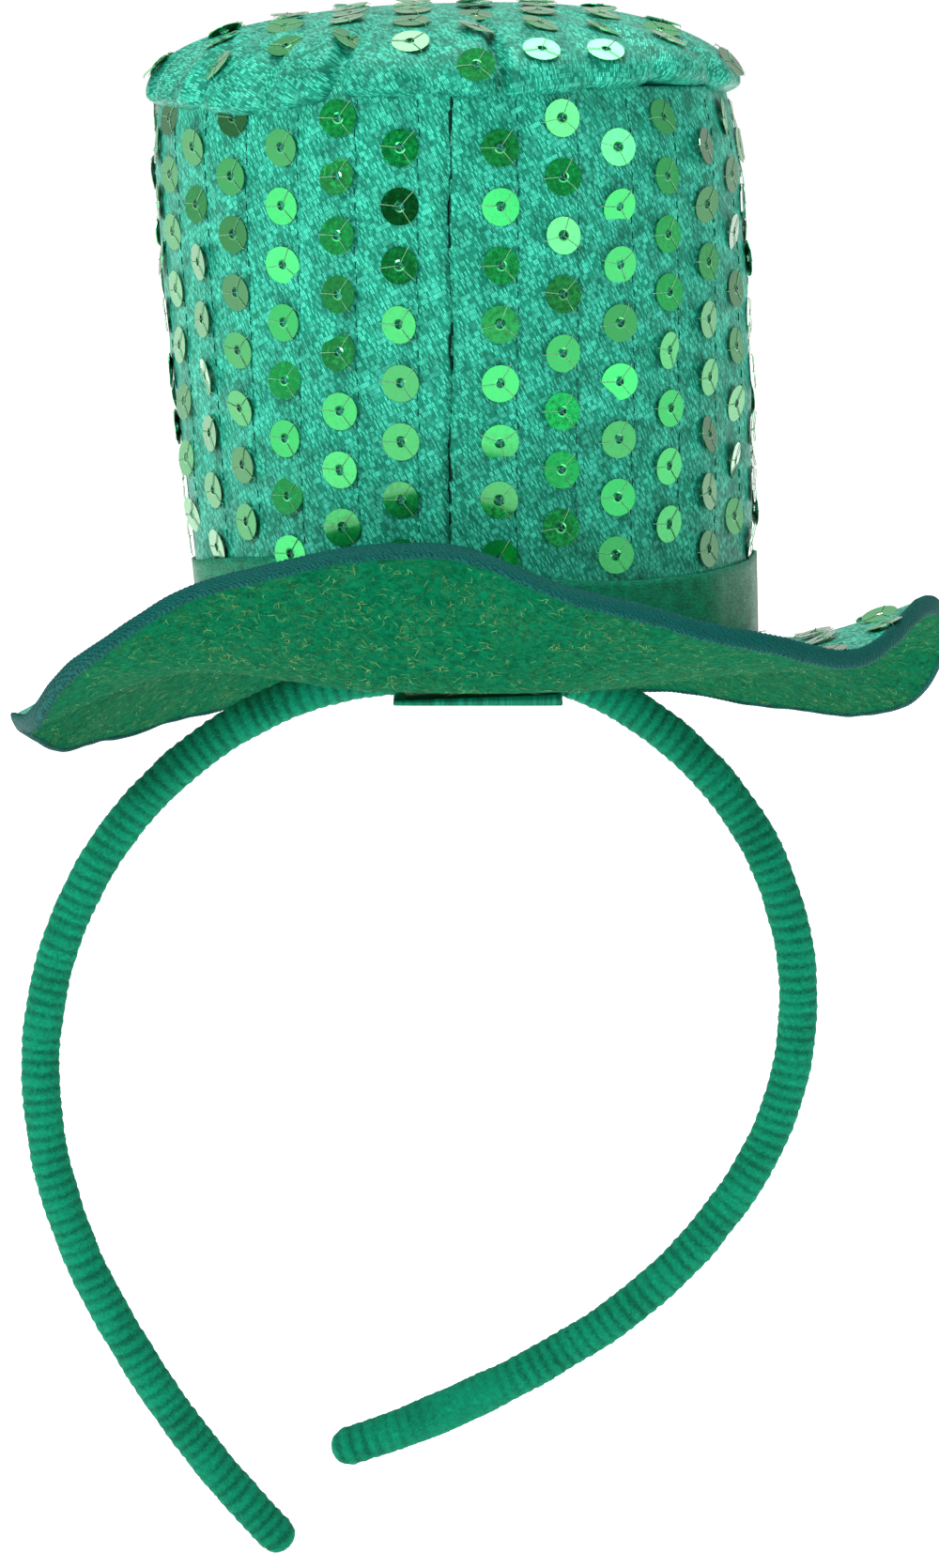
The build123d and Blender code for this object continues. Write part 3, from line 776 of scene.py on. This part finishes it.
def make_felt_fibres():
    """Pale stray fibres that lie matted on the felt's underside."""
    size = sizes()
    draw = np.random.default_rng(size.seed + 40)
    turns, shares = draw.uniform(0, FULL, 9000), draw.uniform(-0.5, 0.97, 9000)
    place = lambda turn, share: brim_point(turn, share, -0.06 * MM)
    here, _, _, out = surface_frame(place, turns, shares, 0.01, 0.01)
    out = np.where(out[:, 2:] > 0, -out, out)
    pale = fuzz("felt_fibres", here, out, size.seed + 41, 6000, 1.6 * MM, 0.06 * MM, 0.88)
    give(pale, fibre_material("Pale fibre", colours().fibre, 0.6))
    mark(pale, "root", "felt")
    nap = fuzz("felt_nap", here, out, size.seed + 42, 9000, 1.0 * MM, 0.06 * MM, 0.8)
    give(nap, fibre_material("Felt nap", colours().felt, 0.5))
    return mark(nap, "root", "felt")


def make_brim_satin():
    """Satin over the felt: the surface brim_point gives, at the felt's top and one cloth above it."""
    size = sizes()
    turns = np.linspace(0, FULL, 360, endpoint=False)
    shares = np.r_[-0.1, np.linspace(-0.03, 1, 36)]
    low = size.felt_thickness + 0.1 * MM
    over = brim_point(turns[:, None], shares[None], low + size.satin_thickness)[:, ::-1]
    under = brim_point(turns[:, None], shares[None], low)
    points = np.concatenate([under, over], 1)
    piece = grid_piece("brim_satin_sheet", points, flat_uv(points), wrap_rows=True, wrap_columns=True)
    give(piece, satin_of_crown())
    return mark(piece, "root", "satin", "brim_satin")


def make_edge_thread():
    """Overlocked yarn: a flat ring hugging the rim, raised into slanting strands by a sine of the way
    round, with seeded unevenness."""
    size = sizes()
    girth = FULL * size.brim_radius
    strands = int(girth / size.overlock_pitch)
    turns = np.linspace(0, FULL, strands * 6, endpoint=False)
    around = np.linspace(0, FULL, 12, endpoint=False)
    half = (size.felt_thickness + size.satin_thickness) / 2 + 0.1 * MM
    strand = 0.5 + 0.5 * np.sin(strands * turns[:, None] + 0.9 * np.sin(around)[None])
    loose = ripple(turns[:, None] * size.brim_radius, around[None] * MM, size.seed + 1, 6, 3 * MM, 9 * MM)
    swell = 1 + 0.1 * strand + 0.05 * loose
    offset = half + (half + 0.22 * MM) * swell * np.sin(around)[None]
    out = 0.45 * MM * swell * np.cos(around)[None] - 0.3 * MM * (np.cos(around)[None] < 0)
    bend = size.brim_radius - size.brim_flat
    points = brim_point(turns[:, None], 1.0 + out / bend, offset)
    round_way = np.r_[turns, FULL] * size.brim_radius
    uv = np.stack(np.broadcast_arrays(round_way[:, None], (np.r_[around, FULL] * MM)[None]), -1)
    piece = grid_piece("overlock_yarn", points, uv, wrap_rows=True, wrap_columns=True)
    give(piece, thread_material("Overlock yarn", colours().thread, 900.0))
    return mark(piece, "root", "edge_thread", "brim_edge_thread")


# ---------------------------------------------------------------- sequins
def sequin_shape():
    """One sequin about the origin: a ring with a rolled hole edge, its top, rim and underside."""
    size = sizes()
    sides = 18
    turns = np.linspace(0, FULL, sides, endpoint=False)
    hole, edge, thick = size.sequin_hole / 2, size.sequin_diameter / 2, 0.06 * MM
    profile = [
        (hole, thick + 0.05 * MM), (hole + 0.25 * MM, thick), (edge, thick), (edge, -thick), (hole, -thick)
    ]
    reach, height = np.array(profile).T
    ring = [np.outer(np.cos(turns), reach), np.outer(np.sin(turns), reach), np.tile(height, (sides, 1))]
    faces, _, _ = grid_faces(sides, len(profile), True, True)
    return np.stack(ring, -1).reshape(-1, 3), faces


def stamp(shape, faces, here, side, up, out):
    """Copies of a small shape, one at each place with its own axes."""
    points = here[:, None] + shape[None, :, :1] * side[:, None] + shape[None, :, 1:2] * up[:, None]
    points = points + shape[None, :, 2:] * out[:, None]
    shift = (np.arange(len(here)) * len(shape))[:, None, None]
    return points.reshape(-1, 3), (faces[None] + shift).reshape(-1, faces.shape[-1])


def tilted(side, up, out, lean_side, lean_up):
    """Axes turned so that out leans by small angles towards side and up."""
    new = out + side * np.tan(lean_side)[:, None] + up * np.tan(lean_up)[:, None]
    new /= np.linalg.norm(new, axis=1, keepdims=True)
    across = side - new * (side * new).sum(1, keepdims=True)
    across /= np.linalg.norm(across, axis=1, keepdims=True)
    return across, np.cross(new, across), new


def thread_shape():
    """Three clear strands from the hole to just past the rim: left, up right and down right."""
    size = sizes()
    reach, thick, top = size.sequin_diameter / 2 + 0.5 * MM, 0.065 * MM, 0.14 * MM
    points, faces = [], []
    for bearing in (180, 55, -50):
        turn = math.radians(bearing)
        way, square = np.array([math.cos(turn), math.sin(turn)]), np.array([-math.sin(turn), math.cos(turn)])
        for share, height in ((0.05, -0.1 * MM), (0.3, top), (0.85, top), (1.0, -0.3 * MM)):
            for a, b in ((-1, 0), (1, 0), (0, 1.6)):
                points.append([*(way * reach * share + square * a * thick), height + b * thick])
        base = len(points) - 12
        for k in range(3):
            for m in range(3):
                n = (m + 1) % 3
                faces.append([base + 3 * k + m, base + 3 * k + n, base + 3 * k + 3 + n, base + 3 * k + 3 + m])
    return np.array(points), np.array(faces)


def dash_shape(length, width):
    """Short raised stitch along the second axis: a box with a ridged back."""
    x, y, z = width / 2, length / 2, 0.12 * MM
    points = [[-x, -y, -z], [x, -y, -z], [x, y, -z], [-x, y, -z], [0, -y * 0.7, z], [0, y * 0.7, z]]
    faces = [[0, 1, 4, 4], [1, 2, 5, 4], [2, 3, 5, 5], [3, 0, 4, 5], [3, 2, 1, 0]]
    return np.array(points), np.array(faces)


def side_places():
    """Bearings, shares and row numbers of the sequins in upright rows round the crown."""
    size = sizes()
    around = FULL * size.crown_belly_radius - 2 * size.seam_margin
    rows = int(around / size.row_spacing) + 1
    gap = around / (rows - 1)
    turns, shares, numbers = [], [], []
    low = size.ribbon_width + size.sequin_diameter / 2 + 0.5 * MM
    count = int((CROWN_RISE - low) / size.sequin_pitch) + 1
    for row in range(rows):
        rise = low + (row % 2) * size.sequin_pitch / 2 + np.arange(-1, count + 1) * size.sequin_pitch
        rise = rise[(rise > size.ribbon_width - 1.0 * MM) & (rise < CROWN_RISE - 1.0 * MM)]
        share = rise / CROWN_RISE
        turns.append(seam_turn(share) + (size.seam_margin + row * gap) / size.crown_belly_radius)
        shares.append(share)
        numbers.append(np.full(len(share), row))
    return np.concatenate(turns), np.concatenate(shares), np.concatenate(numbers)


def lay_sequins(name, here, side, up, out, rows, seed, node, lift, lean_by_row=0.05, lean_each=0.09):
    """Sequins at the places, each leaning a little by its row and by itself, with their threads."""
    draw = np.random.default_rng(seed)
    count = rows.max() + 1
    row_side, row_up = draw.normal(0, lean_by_row, count), draw.normal(0, lean_by_row, count)
    lean_side = row_side[rows] + draw.normal(0, lean_each, len(rows))
    lean_up = row_up[rows] + draw.normal(0, lean_each, len(rows))
    side, up, out = tilted(side, up, out, lean_side, lean_up)
    twist = draw.normal(0, 0.12, len(rows))[:, None]
    side, up = side * np.cos(twist) + up * np.sin(twist), up * np.cos(twist) - side * np.sin(twist)
    here = here + out * (lift + draw.uniform(0, 0.12 * MM, len(rows))[:, None])
    shape, faces = sequin_shape()
    points, quads = stamp(shape, faces, here, side, up, out)
    # Painted reflection: each row, and each sequin in it, is dimmer or brighter as though it caught the light
    # more or less.
    reflection_share = np.clip(draw.normal(0.6, 0.22, count)[rows] + draw.normal(0, 0.22, len(rows)), 0, 1)
    piece = make_mesh(name, points, quads, shade=np.repeat(reflection_share, len(shape)), smooth=False)
    give(piece, bpy.data.materials.get("Sequin film") or sequin_material())
    mark(piece, "root", "sequin", node)
    shape, faces = thread_shape()
    points, quads = stamp(shape, faces, here, side, up, out)
    threads = make_mesh(name + "_threads", points, quads)
    give(
        threads,
        bpy.data.materials.get("Sequin thread") or thread_material("Sequin thread", (0.25, 0.6, 0.35), 2500.0)
    )
    mark(threads, "root", "seam_thread")
    return piece


def make_side_sequins():
    """Sequins at side_places, square to the surface of crown_point, with stitches between rows."""
    size = sizes()
    turns, shares, rows = side_places()
    here, side, up, out = surface_frame(crown_point, turns, shares, 0.05, 0.03)
    lay_sequins("side_sequins", here, side, up, out, rows, size.seed + 2, "sequins_side", 0.45 * MM)
    beside = turns + (size.sequin_diameter / 2 + 0.1 * MM) / size.crown_belly_radius
    parts = []
    for up_by in (0.25, 0.5, 0.75):
        share = shares + up_by * size.sequin_pitch / CROWN_RISE
        keep = (share < 0.985) & (share > (size.ribbon_width + 1.0 * MM) / CROWN_RISE)
        parts.append((beside[keep], share[keep]))
    turns, shares = np.concatenate([p[0] for p in parts]), np.concatenate([p[1] for p in parts])
    here, side, up, out = surface_frame(crown_point, turns, shares, 0.02, 0.01)
    shape, faces = dash_shape(1.5 * MM, 0.3 * MM)
    points, quads = stamp(shape, faces, here + out * 0.03 * MM, side, up, out)
    piece = make_mesh("row_stitches", points, quads)
    give(
        piece, bpy.data.materials.get("Seam thread") or thread_material("Seam thread", colours().seam, 1500.0)
    )
    return mark(piece, "root", "seam_thread")


def make_seam_stitches():
    """Dark stitches down in the front seam."""
    shares = np.linspace(0.16, 0.985, 44)
    draw = np.random.default_rng(sizes().seed + 8)
    turns = seam_turn(shares) + draw.normal(0, 0.16 * MM, len(shares)) / sizes().crown_belly_radius
    here, side, up, out = surface_frame(crown_point, turns, shares, 0.03, 0.01)
    here, side = here - out * 0.05 * MM, side * draw.uniform(0.7, 1.25, (len(shares), 1))
    # The dashes are wide enough to stand as well for painted shade in the seam's gap.
    shape, faces = dash_shape(2.3 * MM, 0.85 * MM)
    points, quads = stamp(shape, faces, here, side, up, out)
    piece = make_mesh("seam_stitches_and_gap_shade", points, quads)
    give(
        piece, bpy.data.materials.get("Seam thread") or thread_material("Seam thread", colours().seam, 1500.0)
    )
    return mark(piece, "root", "seam_thread", "crown_seam_thread")


def flat_places(reach):
    """Plan places of staggered straight rows over a disc, with their row numbers."""
    size = sizes()
    count = int(reach / size.row_spacing) + 1
    rows, steps = np.meshgrid(np.arange(-count, count + 1), np.arange(-12, 13), indexing="ij")
    x = (rows + 0.5) * size.row_spacing
    y = steps * size.sequin_pitch + (rows % 2) * size.sequin_pitch / 2
    return x.ravel(), y.ravel(), (rows + count).ravel()


def make_tip_sequins():
    """Sequins on rows over the tip, square to the surface that tip_point gives."""
    size = sizes()
    x, y, rows = flat_places(TIP_RADIUS)
    out = np.hypot(x, y)
    keep = out < TIP_RADIUS * 0.985
    turns, rows = np.arctan2(y, x)[keep], rows[keep]
    lifts = np.arccos(np.clip(out[keep] / TIP_RADIUS, 0, 1) ** (1 / 0.86))
    here, side, up, normal = surface_frame(tip_point, turns, lifts, 0.03, 0.04)
    lay_sequins(
        "tip_sequins", here, side, up, normal, rows, size.seed + 4, "sequins_tip", 0.35 * MM, 0.05, 0.1
    )


def make_brim_sequins():
    """Sequins on rows over the brim between ribbon and rim, square to brim_point's surface."""
    size = sizes()
    x, y, rows = flat_places(size.brim_radius)
    out, turns = np.hypot(x, y), np.arctan2(y, x)
    rim = brim_point(turns, 1.0, 0.0)
    reach = np.hypot(rim[:, 0], rim[:, 1])
    keep = (out > size.crown_base_radius + 5 * MM) & (out < reach - 2.0 * MM)
    turns, rows = turns[keep], rows[keep]
    shares = (out[keep] - size.brim_flat) / (reach[keep] - size.brim_flat)
    top = size.felt_thickness + size.satin_thickness + 0.1 * MM
    over = lambda turn, share: brim_point(turn, share, top)
    here, side, up, normal = surface_frame(over, turns, shares, 0.03, 0.05)
    side, up, normal = -side, up, -normal
    flip = normal[:, 2] < 0
    side[flip], normal[flip] = -side[flip], -normal[flip]
    lay_sequins(
        "brim_sequins", here, side, up, normal, rows, size.seed + 6, "sequins_brim", 0.45 * MM, 0.06, 0.12
    )


# ---------------------------------------------------------------- headband
# Each leg is a chain of tangent arcs from the middle down to its tip: radius in mm, degrees.
LEG_ARCS = {
    "left_leg": (-1, [(57.3, 26.6), (67.8, 70.0), (84.9, 19.6), (172.1, 17.7)]),
    "right_leg": (1, [(20.0, 24.0), (61.0, 30.1), (56.6, 66.9), (83.8, 26.1), (172.1, 15.0)]),
}
BAND_STRAIGHT = 10 * MM


def leg_path(side, arcs, step):
    """Points and headings along a straight run, its tangent arcs and its rounded end, about one step
    apart."""
    count = int(BAND_STRAIGHT / step)
    x = np.linspace(0, BAND_STRAIGHT, count, endpoint=False)
    places, headings = [np.stack([x, np.full(count, BAND_AXIS)], 1)], [np.zeros(count)]
    start, heading = np.array([BAND_STRAIGHT, BAND_AXIS]), 0.0
    for radius, sweep in arcs:
        radius, sweep = radius * MM, math.radians(sweep)
        turn = heading + np.linspace(0, sweep, int(radius * sweep / step) + 1)
        moved = np.stack([np.sin(turn) - math.sin(heading), np.cos(turn) - math.cos(heading)], 1)
        places.append((start + radius * moved)[:-1])
        headings.append(turn[:-1])
        start, heading = start + radius * moved[-1], heading + sweep
    beyond = np.linspace(0, BAND_RADIUS, int(BAND_RADIUS / step) + 1)[:, None]
    places.append(start + beyond * np.array([math.cos(heading), -math.sin(heading)]))
    headings.append(np.full(len(beyond), heading))
    places, headings = np.concatenate(places), np.concatenate(headings)
    return np.stack([side * places[:, 0], np.zeros(len(places)), places[:, 1]], 1), headings


def make_plush(body):
    """Plush sleeve of one leg: a round bar along its arcs, ribbed across by a sine of the way along with
    uneven spacing, the ribs fading over one stretch near the right tip, and rounded off at the tip."""
    size = sizes()
    side, arcs = LEG_ARCS[body]
    step = size.rib_pitch / 8
    path, headings = leg_path(side, arcs, step)
    way = np.arange(len(path)) * step
    length = way[-1]
    around = np.linspace(0, FULL, 40, endpoint=False)
    uneven = 0.9 * ripple(way, 0 * way, size.seed + 10 + side, 7, 6 * MM, 40 * MM)
    slant = 0.9 * np.sin(around + 0.7 * np.sin(way[:, None] / (9 * MM)))
    rib = 0.5 + 0.5 * np.cos(FULL * way[:, None] / size.rib_pitch + uneven[:, None] + slant)
    smooth_from, smooth_to = (0.84, 0.95) if side > 0 else (2.0, 2.1)
    share = way / length
    ribbed = 1 - 0.85 * np.exp(-(((share - (smooth_from + smooth_to) / 2) / 0.055) ** 2))
    lumps = ripple(way[:, None], around[None] * 3 * MM, size.seed + 20 + side, 9, 5 * MM, 16 * MM)
    tufts = ripple(way[:, None], around[None] * 3 * MM, size.seed + 30 + side, 16, 0.7 * MM, 1.6 * MM)
    hollow = size.rib_depth * (1 - rib**0.7) * ribbed[:, None]
    radius = BAND_RADIUS - hollow + 0.08 * MM * lumps + 0.05 * MM * tufts
    radius += 0.25 * MM * (1 - ribbed[:, None])
    left = np.clip((length - way) / BAND_RADIUS, 0, 1)
    radius *= np.sqrt(np.clip(1 - (1 - left) ** 2, 0.0, 1))[:, None] + 1e-4
    inward = np.stack([-side * np.sin(headings), 0 * headings, -np.cos(headings)], 1)
    across = np.array([0, 1.0, 0])
    ring = np.cos(around)[None, :, None] * inward[:, None] + np.sin(around)[None, :, None] * across
    points = path[:, None] + ring * radius[..., None]
    faces, row, column = grid_faces(*points.shape[:2], False, True)
    if side > 0:
        faces = faces[:, ::-1]
        row, column = row[:, ::-1], column[:, ::-1]
    uv = np.stack([way[row], column * BAND_RADIUS * FULL / len(around)], -1)
    # Painted shade for each point: deeper in the grooves between ribs, lighter over the lumps.
    grooves = (0.6 * (1 - rib) ** 1.5 * ribbed[:, None] - 0.12 * lumps).clip(0, 1).ravel()
    piece = make_mesh(body.replace("leg", "plush_sleeve"), points, faces, uv, grooves)
    give(piece, bpy.data.materials.get("Ribbed plush") or plush_material())
    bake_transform(piece)
    nodes = ["band_cover_left", "band_cover_centre"] if side < 0 else ["band_cover_right"]
    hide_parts(*nodes)
    pile = make_pile(body, points, path)
    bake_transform(pile)
    return piece


def make_pile(body, points, path):
    """Upright velvet fibres all over one leg's plush."""
    out = points - path[:, None]
    out /= np.linalg.norm(out, axis=-1, keepdims=True)
    roots, out = points[4:-3].reshape(-1, 3), out[4:-3].reshape(-1, 3)
    name = body.replace("leg", "plush_pile")
    piece = fuzz(
        name, roots - out * 0.1 * MM, out, sizes().seed + 50 + len(body), 45000, 0.55 * MM, 0.055 * MM, 0.35
    )
    give(piece, bpy.data.materials.get("Plush pile") or fibre_material("Plush pile", colours().plush, 0.6))
    return piece


def make_patch():
    """Strip glued under the band: a slightly bowed slab with rounded corners, its front edge rolled up
    over a folded hem."""
    low, high = np.array(PATCH_LOW), np.array(PATCH_HIGH)
    half = (high - low) / 2
    u, v = np.linspace(-1, 1, 40), np.linspace(-1, 1, 28)
    plan_x = half[0] * u[:, None] * (1 - 0.02 * np.abs(v[None]) ** 6)
    plan_y = half[1] * v[None] * (1 - 0.03 * np.abs(u[:, None]) ** 8)
    bow = 0.25 * MM * (1 - (v[None] ** 2)) + 0.0 * u[:, None]
    front = np.exp(-(((v[None] + 1) / 0.3) ** 2)) * (0.65 + 0.35 * u[:, None])
    under = np.stack(np.broadcast_arrays(plan_x, plan_y, low[2] + 0.1 * MM - bow * 0.4), -1)
    over = np.stack(np.broadcast_arrays(plan_x, plan_y, high[2] - bow * 0.4 + 1.5 * MM * front), -1)
    points = np.concatenate([under, over[:, ::-1]], 1)
    ends = [points[:1] * 1.0, points[-1:] * 1.0]
    for end in ends:
        end[..., 1:] = end[..., 1:].mean((0, 1)) + 0.02 * (end[..., 1:] - end[..., 1:].mean((0, 1)))
    points = np.concatenate([ends[0], points, ends[1]], 0)
    uv = points[..., [0, 1]]
    uv = np.concatenate([uv, uv[:, :1]], 1)
    piece = grid_piece("patch_cloth", points, uv, wrap_columns=True)
    palette = colours()
    # The crown's satin colour serves as the patch's painted glint, satin_shade as its painted shade.
    give(piece, satin_material("Patch satin", palette.ribbon, palette.satin, palette.satin_shade, 0.2, 12.0))
    return mark(piece, "root", "patch_satin", "fixing_patch")


def finish_inner_pieces():
    """Materials for the CAD pieces that stay as they are, inside the hat and the band."""
    finishes = {
        "crown_interlining": ("Interlining", (0.75, 0.76, 0.74), 0.9, 700.0),
        "crown_glue_ring": ("Crown glue", (0.75, 0.70, 0.55), 0.25, 200.0),
        "glue_bed": ("Bed glue", (0.02, 0.16, 0.09), 0.4, 200.0),
        "band_core_centre": ("Core middle", (0.03, 0.03, 0.03), 0.5, 250.0),
        "band_core_left": ("Core left", (0.03, 0.03, 0.03), 0.5, 250.0),
        "band_core_right": ("Core right", (0.03, 0.03, 0.03), 0.5, 250.0),
    }
    for node, (name, base, roughness, scale) in finishes.items():
        material = plain_material(name, base, roughness, scale)
        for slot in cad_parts[node].material_slots:
            slot.material = material


# ---------------------------------------------------------------- stage
def make_stage():
    """Plain floor, softboxes, a world that is bright round about and dim behind the camera, and the
    camera."""
    floor_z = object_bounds()[0][2] - 0.5 * MM
    edge = np.linspace(-9, 9, 7)
    points = np.stack(np.broadcast_arrays(edge[:, None], edge[None], floor_z), -1)
    floor = grid_piece("floor", points, points[..., :2])
    material, tree, shader = new_material("Floor paper")
    shader.inputs["Base Color"].default_value = (0.96, 0.96, 0.96, 1)
    shader.inputs["Emission Color"].default_value = (1, 1, 1, 1)
    shader.inputs["Emission Strength"].default_value = 0.75
    shader.inputs["Roughness"].default_value = 0.9
    give(floor, material)
    floor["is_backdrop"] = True
    lamp("Key", (-0.75, -0.85, 0.7), (0, 0, 0.03), 0.32, 13.0)
    lamp("Fill", (0.95, -0.75, 0.35), (0, 0, 0.03), 0.4, 2.2)
    lamp("Top", (0.1, 0.1, 1.2), (0, 0, 0.0), 0.9, 14.0)
    lamp("Low", (0.0, -0.9, -0.25), (0, 0, 0.0), 0.5, 3.0)
    world = bpy.data.worlds.new("Studio")
    world.use_nodes = True
    bpy.context.scene.world = world
    tree = world.node_tree
    way = add_node(tree, "ShaderNodeTexCoord").outputs["Generated"]
    split = add_node(tree, "ShaderNodeSeparateXYZ", {0: way})
    dim = spread(tree, split.outputs[1], -0.95, -0.2, 0.04, 0.62)
    seen = add_node(tree, "ShaderNodeLightPath").outputs["Is Camera Ray"]
    strength = maths(tree, "MAXIMUM", dim, seen)
    tree.nodes["Background"].inputs[0].default_value = (1, 1, 1, 1)
    tree.links.new(strength, tree.nodes["Background"].inputs[1])
    scene = bpy.context.scene
    scene.view_settings.view_transform = "Standard"
    camera = bpy.data.cameras.new("Camera")
    camera.lens = 139.0
    camera.sensor_width = 36.0
    eye = bpy.data.objects.new("Camera", camera)
    eye.location = (-0.0014, -1.0, 0.101)
    eye.rotation_euler = (math.radians(90 - 6.564), 0, 0)
    scene.collection.objects.link(eye)
    scene.camera = eye


def lamp(name, place, target, size, power):
    """Square softbox aimed at a point."""
    data = bpy.data.lights.new(name, "AREA")
    data.size = size
    data.energy = power
    piece = bpy.data.objects.new(name, data)
    aim = np.array(target) - np.array(place)
    flat = math.hypot(aim[0], aim[1])
    piece.location = place
    piece.rotation_euler = (math.atan2(flat, -aim[2]), 0, math.atan2(aim[1], aim[0]) - math.pi / 2)
    bpy.context.scene.collection.objects.link(piece)


# ---------------------------------------------------------------- operators
class HAT_OT_crown(bpy.types.Operator):
    """Make the satin side of the crown with its seam"""

    bl_idname = "hat.crown"
    bl_label = "Crown Side"

    def execute(self, context):
        make_crown_side()
        make_seam_stitches()
        return {"FINISHED"}


class HAT_OT_tip(bpy.types.Operator):
    """Make the puffed tip of the crown"""

    bl_idname = "hat.tip"
    bl_label = "Crown Tip"

    def execute(self, context):
        make_tip()
        return {"FINISHED"}


class HAT_OT_ribbon(bpy.types.Operator):
    """Make the ribbon round the crown's foot"""

    bl_idname = "hat.ribbon"
    bl_label = "Ribbon"

    def execute(self, context):
        make_ribbon()
        return {"FINISHED"}


class HAT_OT_brim(bpy.types.Operator):
    """Make the brim's felt, satin and overlocked edge"""

    bl_idname = "hat.brim"
    bl_label = "Brim"

    def execute(self, context):
        make_felt()
        make_felt_fibres()
        make_brim_satin()
        make_edge_thread()
        return {"FINISHED"}


class HAT_OT_sequins(bpy.types.Operator):
    """Sew the sequins on the side, the tip and the brim"""

    bl_idname = "hat.sequins"
    bl_label = "Sequins"

    def execute(self, context):
        make_side_sequins()
        make_tip_sequins()
        make_brim_sequins()
        return {"FINISHED"}


class HAT_OT_headband(bpy.types.Operator):
    """Make the headband's plush and the patch that fixes it"""

    bl_idname = "hat.headband"
    bl_label = "Headband"

    def execute(self, context):
        for body in LEG_ARCS:
            make_plush(body)
        make_patch()
        return {"FINISHED"}


class HAT_OT_inside(bpy.types.Operator):
    """Finish the pieces inside the hat and the band"""

    bl_idname = "hat.inside"
    bl_label = "Inner Pieces"

    def execute(self, context):
        finish_inner_pieces()
        return {"FINISHED"}


class HAT_OT_stage(bpy.types.Operator):
    """Set the floor, the lights and the camera"""

    bl_idname = "hat.stage"
    bl_label = "Stage"

    def execute(self, context):
        make_stage()
        return {"FINISHED"}


OPERATORS = [
    HAT_OT_crown, HAT_OT_tip, HAT_OT_ribbon, HAT_OT_brim, HAT_OT_sequins, HAT_OT_headband, HAT_OT_inside,
    HAT_OT_stage,
]  # fmt: skip


class HAT_PT_panel(bpy.types.Panel):
    """Lists the steps that dress the hat"""

    bl_label = "Mini Top Hat"
    bl_idname = "HAT_PT_panel"
    bl_space_type = "VIEW_3D"
    bl_region_type = "UI"
    bl_category = "Hat"

    def draw(self, context):
        for operator in OPERATORS:
            self.layout.operator(operator.bl_idname)
        for group in (context.scene.hat_sizes, context.scene.hat_colours):
            box = self.layout.box()
            for key in group.__annotations__:
                box.prop(group, key)


CLASSES = [HatSizes, HatColours, *OPERATORS, HAT_PT_panel]


def register():
    """Registers the classes and hangs both groups on the scene."""
    for item in CLASSES:
        bpy.utils.register_class(item)
    bpy.types.Scene.hat_sizes = PointerProperty(type=HatSizes)
    bpy.types.Scene.hat_colours = PointerProperty(type=HatColours)


def unregister():
    """Takes off what register put on."""
    del bpy.types.Scene.hat_colours
    del bpy.types.Scene.hat_sizes
    for item in reversed(CLASSES):
        bpy.utils.unregister_class(item)


def main():
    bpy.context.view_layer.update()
    register()
    for operator in OPERATORS:
        module, name = operator.bl_idname.split(".")
        getattr(getattr(bpy.ops, module), name)()


if __name__ == "__main__":
    main()
